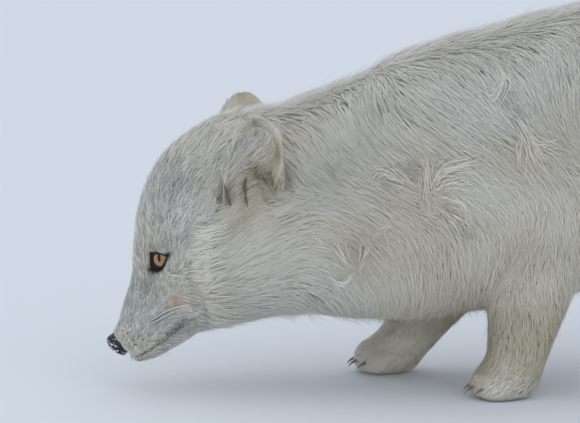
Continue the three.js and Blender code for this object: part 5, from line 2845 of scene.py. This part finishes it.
@dataclass
class NosePad:
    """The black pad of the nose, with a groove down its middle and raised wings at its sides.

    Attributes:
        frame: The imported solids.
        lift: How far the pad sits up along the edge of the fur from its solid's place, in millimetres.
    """

    frame: Frame
    lift: float = 1.1

    def build(self, material: bpy.types.Material) -> bpy.types.Object:
        """Make the nose pad from a copy of its solid.

        Args:
            material: The pad's finish.

        Returns:
            The nose pad.
        """
        piece = copy_solid(self.frame.nodes["nose"])
        piece.name = piece.data.name = "nose_pad"
        merge_doubles(piece)
        apply_modifier(piece, "REMESH", mode="VOXEL", voxel_size=0.45 * MM, use_smooth_shade=True)
        mesh = piece.data
        ends = edge_ends(mesh)
        move_to(mesh, spread(places(mesh), ends, 10))
        xyz, out = places(mesh), normals(mesh)
        behind, aside, up = self.frame.local(xyz).T
        aside = np.abs(aside)
        groove = np.exp(-((aside / 0.7) ** 2)) * smoothstep(5.0, 1.5, behind)
        groove = groove * smoothstep(33.0, 29.0, up)
        wing = np.exp(-(((behind - 8.0) / 3.0) ** 2) - ((up - 26.5) / 2.2) ** 2)
        wing = wing * smoothstep(3.0, 6.0, aside)
        xyz = xyz + out * (0.2 - 0.7 * groove + 0.5 * wing)[:, None] * MM
        floor = self.frame.at(0, 0, 25.6)[2] - 0.30 * (xyz[:, 0] - self.frame.nose_tip_x)
        xyz[:, 2] += 0.75 * np.maximum(floor - xyz[:, 2], 0.0)
        xyz[:, 1] *= 1.0 - 0.12 * smoothstep(31.0, 36.0, up)
        rises = np.array([-NOSE_EDGE_OUT[1], 0.0, NOSE_EDGE_OUT[0]])
        leads = np.array([NOSE_EDGE_OUT[0], 0.0, NOSE_EDGE_OUT[1]])
        top = self.frame.at(NOSE_EDGE[0], 0, NOSE_EDGE[1])
        xyz += rises * (0.08 * ((xyz - top) @ rises) - self.lift * MM)[:, None]
        ahead = ((xyz - top) @ leads) / MM
        xyz -= leads * (0.5 * np.maximum(ahead - 4.0, 0.0) * MM)[:, None]
        move_to(mesh, xyz)
        write_attribute(mesh, "frost", smoothstep(1.5, 6.0, ahead + 1.2 * Waves(0.004, 61).at(xyz)))
        dress(piece, material, "nose", "nose")
        return piece


# The radius of the toes and half the width of a paw without its fur, in millimetres.
FORE_TOES = (9.0, 18.5)
HIND_TOES = (8.4, 17.0)


@dataclass
class Claws:
    """The four claws of one paw.

    Attributes:
        paw: The paw's node.
        toe: The radius of its toes in millimetres.
        half: Half the width of the paw without its fur.
        leads: How far each toe stands ahead of the paw's middle line.
        spots: Where each toe stands across the paw, as a share of its half.
        length: The length of a claw.
        thick: The radius of its root.
        steps: In how many steps it is drawn out.
    """

    paw: str
    toe: float
    half: float
    leads: tuple[float, ...] = (-3.5, 1.5, 1.5, -3.5)
    spots: tuple[float, ...] = (-0.68, -0.25, 0.25, 0.68)
    length: float = 8.5
    thick: float = 1.3
    steps: int = 6

    def build(self, material: bpy.types.Material) -> bpy.types.Object:
        """Make the claws.

        Args:
            material: Their finish.

        Returns:
            The claws of the paw as one piece.
        """
        low, high = (np.array(corner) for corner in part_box(self.paw))
        middle = (low[1] + high[1]) / 2
        parts = []
        for share, lead in zip(self.spots, self.leads):
            ahead = low[0] + (max(self.leads) - lead + 4.0) * MM
            parts.append(self._claw(ahead, middle + share * self.half * MM, 0.95 * self.toe * MM))
        deselect()
        for part in parts:
            part.select_set(True)
        bpy.context.view_layer.objects.active = parts[0]
        bpy.ops.object.join()
        piece = bpy.context.object
        piece.name = piece.data.name = f"claws_{self.paw}"
        bpy.ops.object.shade_smooth()
        dress(piece, material, "claw")
        return piece

    def _claw(self, x: float, y: float, z: float) -> bpy.types.Object:
        """Make one claw, drawn out ring by ring from its root and bent down as it goes.

        Args:
            x: Where its root is along the fox, in metres.
            y: Where it is aside.
            z: Where it is upwards.

        Returns:
            The claw.
        """
        deselect()
        bpy.ops.mesh.primitive_circle_add(
            vertices=12, radius=self.thick * MM, fill_type="NGON", location=ORIGIN
        )
        piece = bpy.context.object
        bpy.ops.object.mode_set(mode="EDIT")
        bpy.ops.mesh.select_all(action="SELECT")
        bpy.ops.transform.rotate(value=math.radians(90.0), orient_axis="Y", center_override=ORIGIN)
        bpy.ops.transform.translate(value=(x, y, z))
        spot = Vector((x, y, z))
        whole = self.steps + 0.3
        for step in range(self.steps):
            dip = math.radians(12.0 + 9.0 * step)
            move = Vector((-math.cos(dip), 0.0, -math.sin(dip))) * (self.length / self.steps * MM)
            bpy.ops.mesh.extrude_region_move(TRANSFORM_OT_translate={"value": move[:]})
            spot += move
            size = (1.0 - (step + 1) / whole) ** 0.55 / (1.0 - step / whole) ** 0.55
            bpy.ops.transform.resize(value=(size, size * 0.98, size), center_override=spot[:])
        bpy.ops.mesh.select_all(action="SELECT")
        bpy.ops.mesh.normals_make_consistent(inside=False)
        bpy.ops.object.mode_set(mode="OBJECT")
        return piece


# ------------------------------------------------------------ the studio


# The place that the lamps face, in metres.
LAMP_AIM = (-0.1, 0.0, 0.1)


@dataclass(frozen=True)
class Lamp:
    """One soft round lamp that faces the fox.

    Attributes:
        name: Its name.
        place: Where it stands, in metres.
        size: Its width.
        energy: Its power in watts.
        colour: Its colour.
    """

    name: str
    place: Triple
    size: float
    energy: float
    colour: Colour = (1.0, 0.97, 0.92)

    def build(self) -> None:
        """Make the lamp."""
        deselect()
        bpy.ops.object.light_add(type="AREA", location=self.place)
        lamp = bpy.context.object
        lamp.name = self.name
        lamp.data.shape = "DISK"
        lamp.data.size = self.size
        lamp.data.energy = self.energy
        lamp.data.color = self.colour
        aim = Vector(LAMP_AIM) - lamp.location
        lamp.rotation_euler = aim.to_track_quat("-Z", "Y").to_euler()


LAMPS = (
    Lamp("soft_box", (0.5, -2.0, 1.5), 2.4, 5.4),
    Lamp("low_fill", (-0.6, -1.8, 0.28), 1.2, 1.3),
)


@dataclass
class Studio:
    """The pale floor, the soft light and the camera.

    Attributes:
        frame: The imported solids.
        turn: How far the camera stands round from the left side towards the tail, in degrees.
        rise: How far it stands above the level of its aim, in degrees.
        distance: How far it stands from its aim, in metres.
        seen_width: The width that it sees there, in metres.
        aim: Its aim in millimetres behind the nose tip, aside and up.
    """

    frame: Frame
    turn: float = -5.0
    rise: float = 9.5
    distance: float = 3.0
    seen_width: float = 0.3694
    aim: Triple = (117.3, 0.0, 114.0)

    def build(self) -> None:
        """Make the floor, the lights, the sky and the camera."""
        self._floor()
        self._light()
        self._camera()

    def _floor(self) -> None:
        """Make a wide pale floor that fills the view."""
        deselect()
        bpy.ops.mesh.primitive_plane_add(size=30.0, location=ORIGIN)
        floor = bpy.context.object
        floor.name = "floor"
        values = {"Base Color": (0.80, 0.84, 0.90, 1.0), "Roughness": 0.9}
        floor.data.materials.append(start_material("pale_floor", values)[0])

    def _light(self) -> None:
        """Make a pale even sky and the lamps."""
        world = bpy.data.worlds.new("soft_sky")
        world.use_nodes = True
        background = world.node_tree.nodes["Background"]
        background.inputs["Color"].default_value = (0.90, 0.94, 1.0, 1.0)
        background.inputs["Strength"].default_value = 0.85
        bpy.context.scene.world = world
        for lamp in LAMPS:
            lamp.build()

    def _camera(self) -> None:
        """Make the camera, which looks a little down on the fox from its left side."""
        turn, rise = math.radians(self.turn), math.radians(self.rise)
        back = Vector((math.sin(turn) * math.cos(rise), -math.cos(turn) * math.cos(rise), math.sin(rise)))
        lens = bpy.data.cameras.new("camera")
        camera = bpy.data.objects.new("camera", lens)
        bpy.context.scene.collection.objects.link(camera)
        camera.location = Vector(self.frame.at(*self.aim)) + back * self.distance
        camera.rotation_mode = "QUATERNION"
        camera.rotation_quaternion = (-back).to_track_quat("-Z", "Y")
        lens.sensor_width = 36.0
        lens.lens = lens.sensor_width * self.distance / self.seen_width
        lens.clip_end = 60.0
        bpy.context.scene.camera = camera


def main() -> None:
    """Build the fox and its studio in order."""
    logging.basicConfig(level=logging.INFO, format="%(message)s")
    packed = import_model()
    frame = Frame(packed["nodes"])
    bpy.context.scene.view_settings.view_transform = "Standard"
    eyes = [EyeSite(frame, side) for side in Side]
    ears = [EarSite(frame, side) for side in Side]
    markings = Markings(frame, eyes, ears)
    paint, lines = FurColours().group(), strand_group()

    skin = Skin(frame, eyes, ears, markings)
    flesh = [name for name in PELTS if name not in NOT_FLESH]
    dress(skin.build(), FurFinish("fox_skin", paint, lines, False).build(), "coat", *flesh)

    eye_finish = EyeFinish().build()
    for eye in eyes:
        EyeBall(eye).build(eye_finish)
        log.info("eyeball_%s", eye.side.word)
    NosePad(frame).build(NOSE_FINISH.build())
    log.info("nose_pad")
    claw_finish = CLAW_FINISH.build()
    for paw in PAW_NODES:
        Claws(paw, *(FORE_TOES if paw.startswith("fore") else HIND_TOES)).build(claw_finish)
        log.info("claws_%s", paw)

    coat_finish = FurFinish("fox_coat", paint, lines, True).build()
    ground = Ground(skin)
    for piece in Coat(ground, markings).build() + LooseHairs(ground, markings).build():
        dress(piece, coat_finish, "coat")

    Studio(frame).build()


if __name__ == "__main__":
    main()
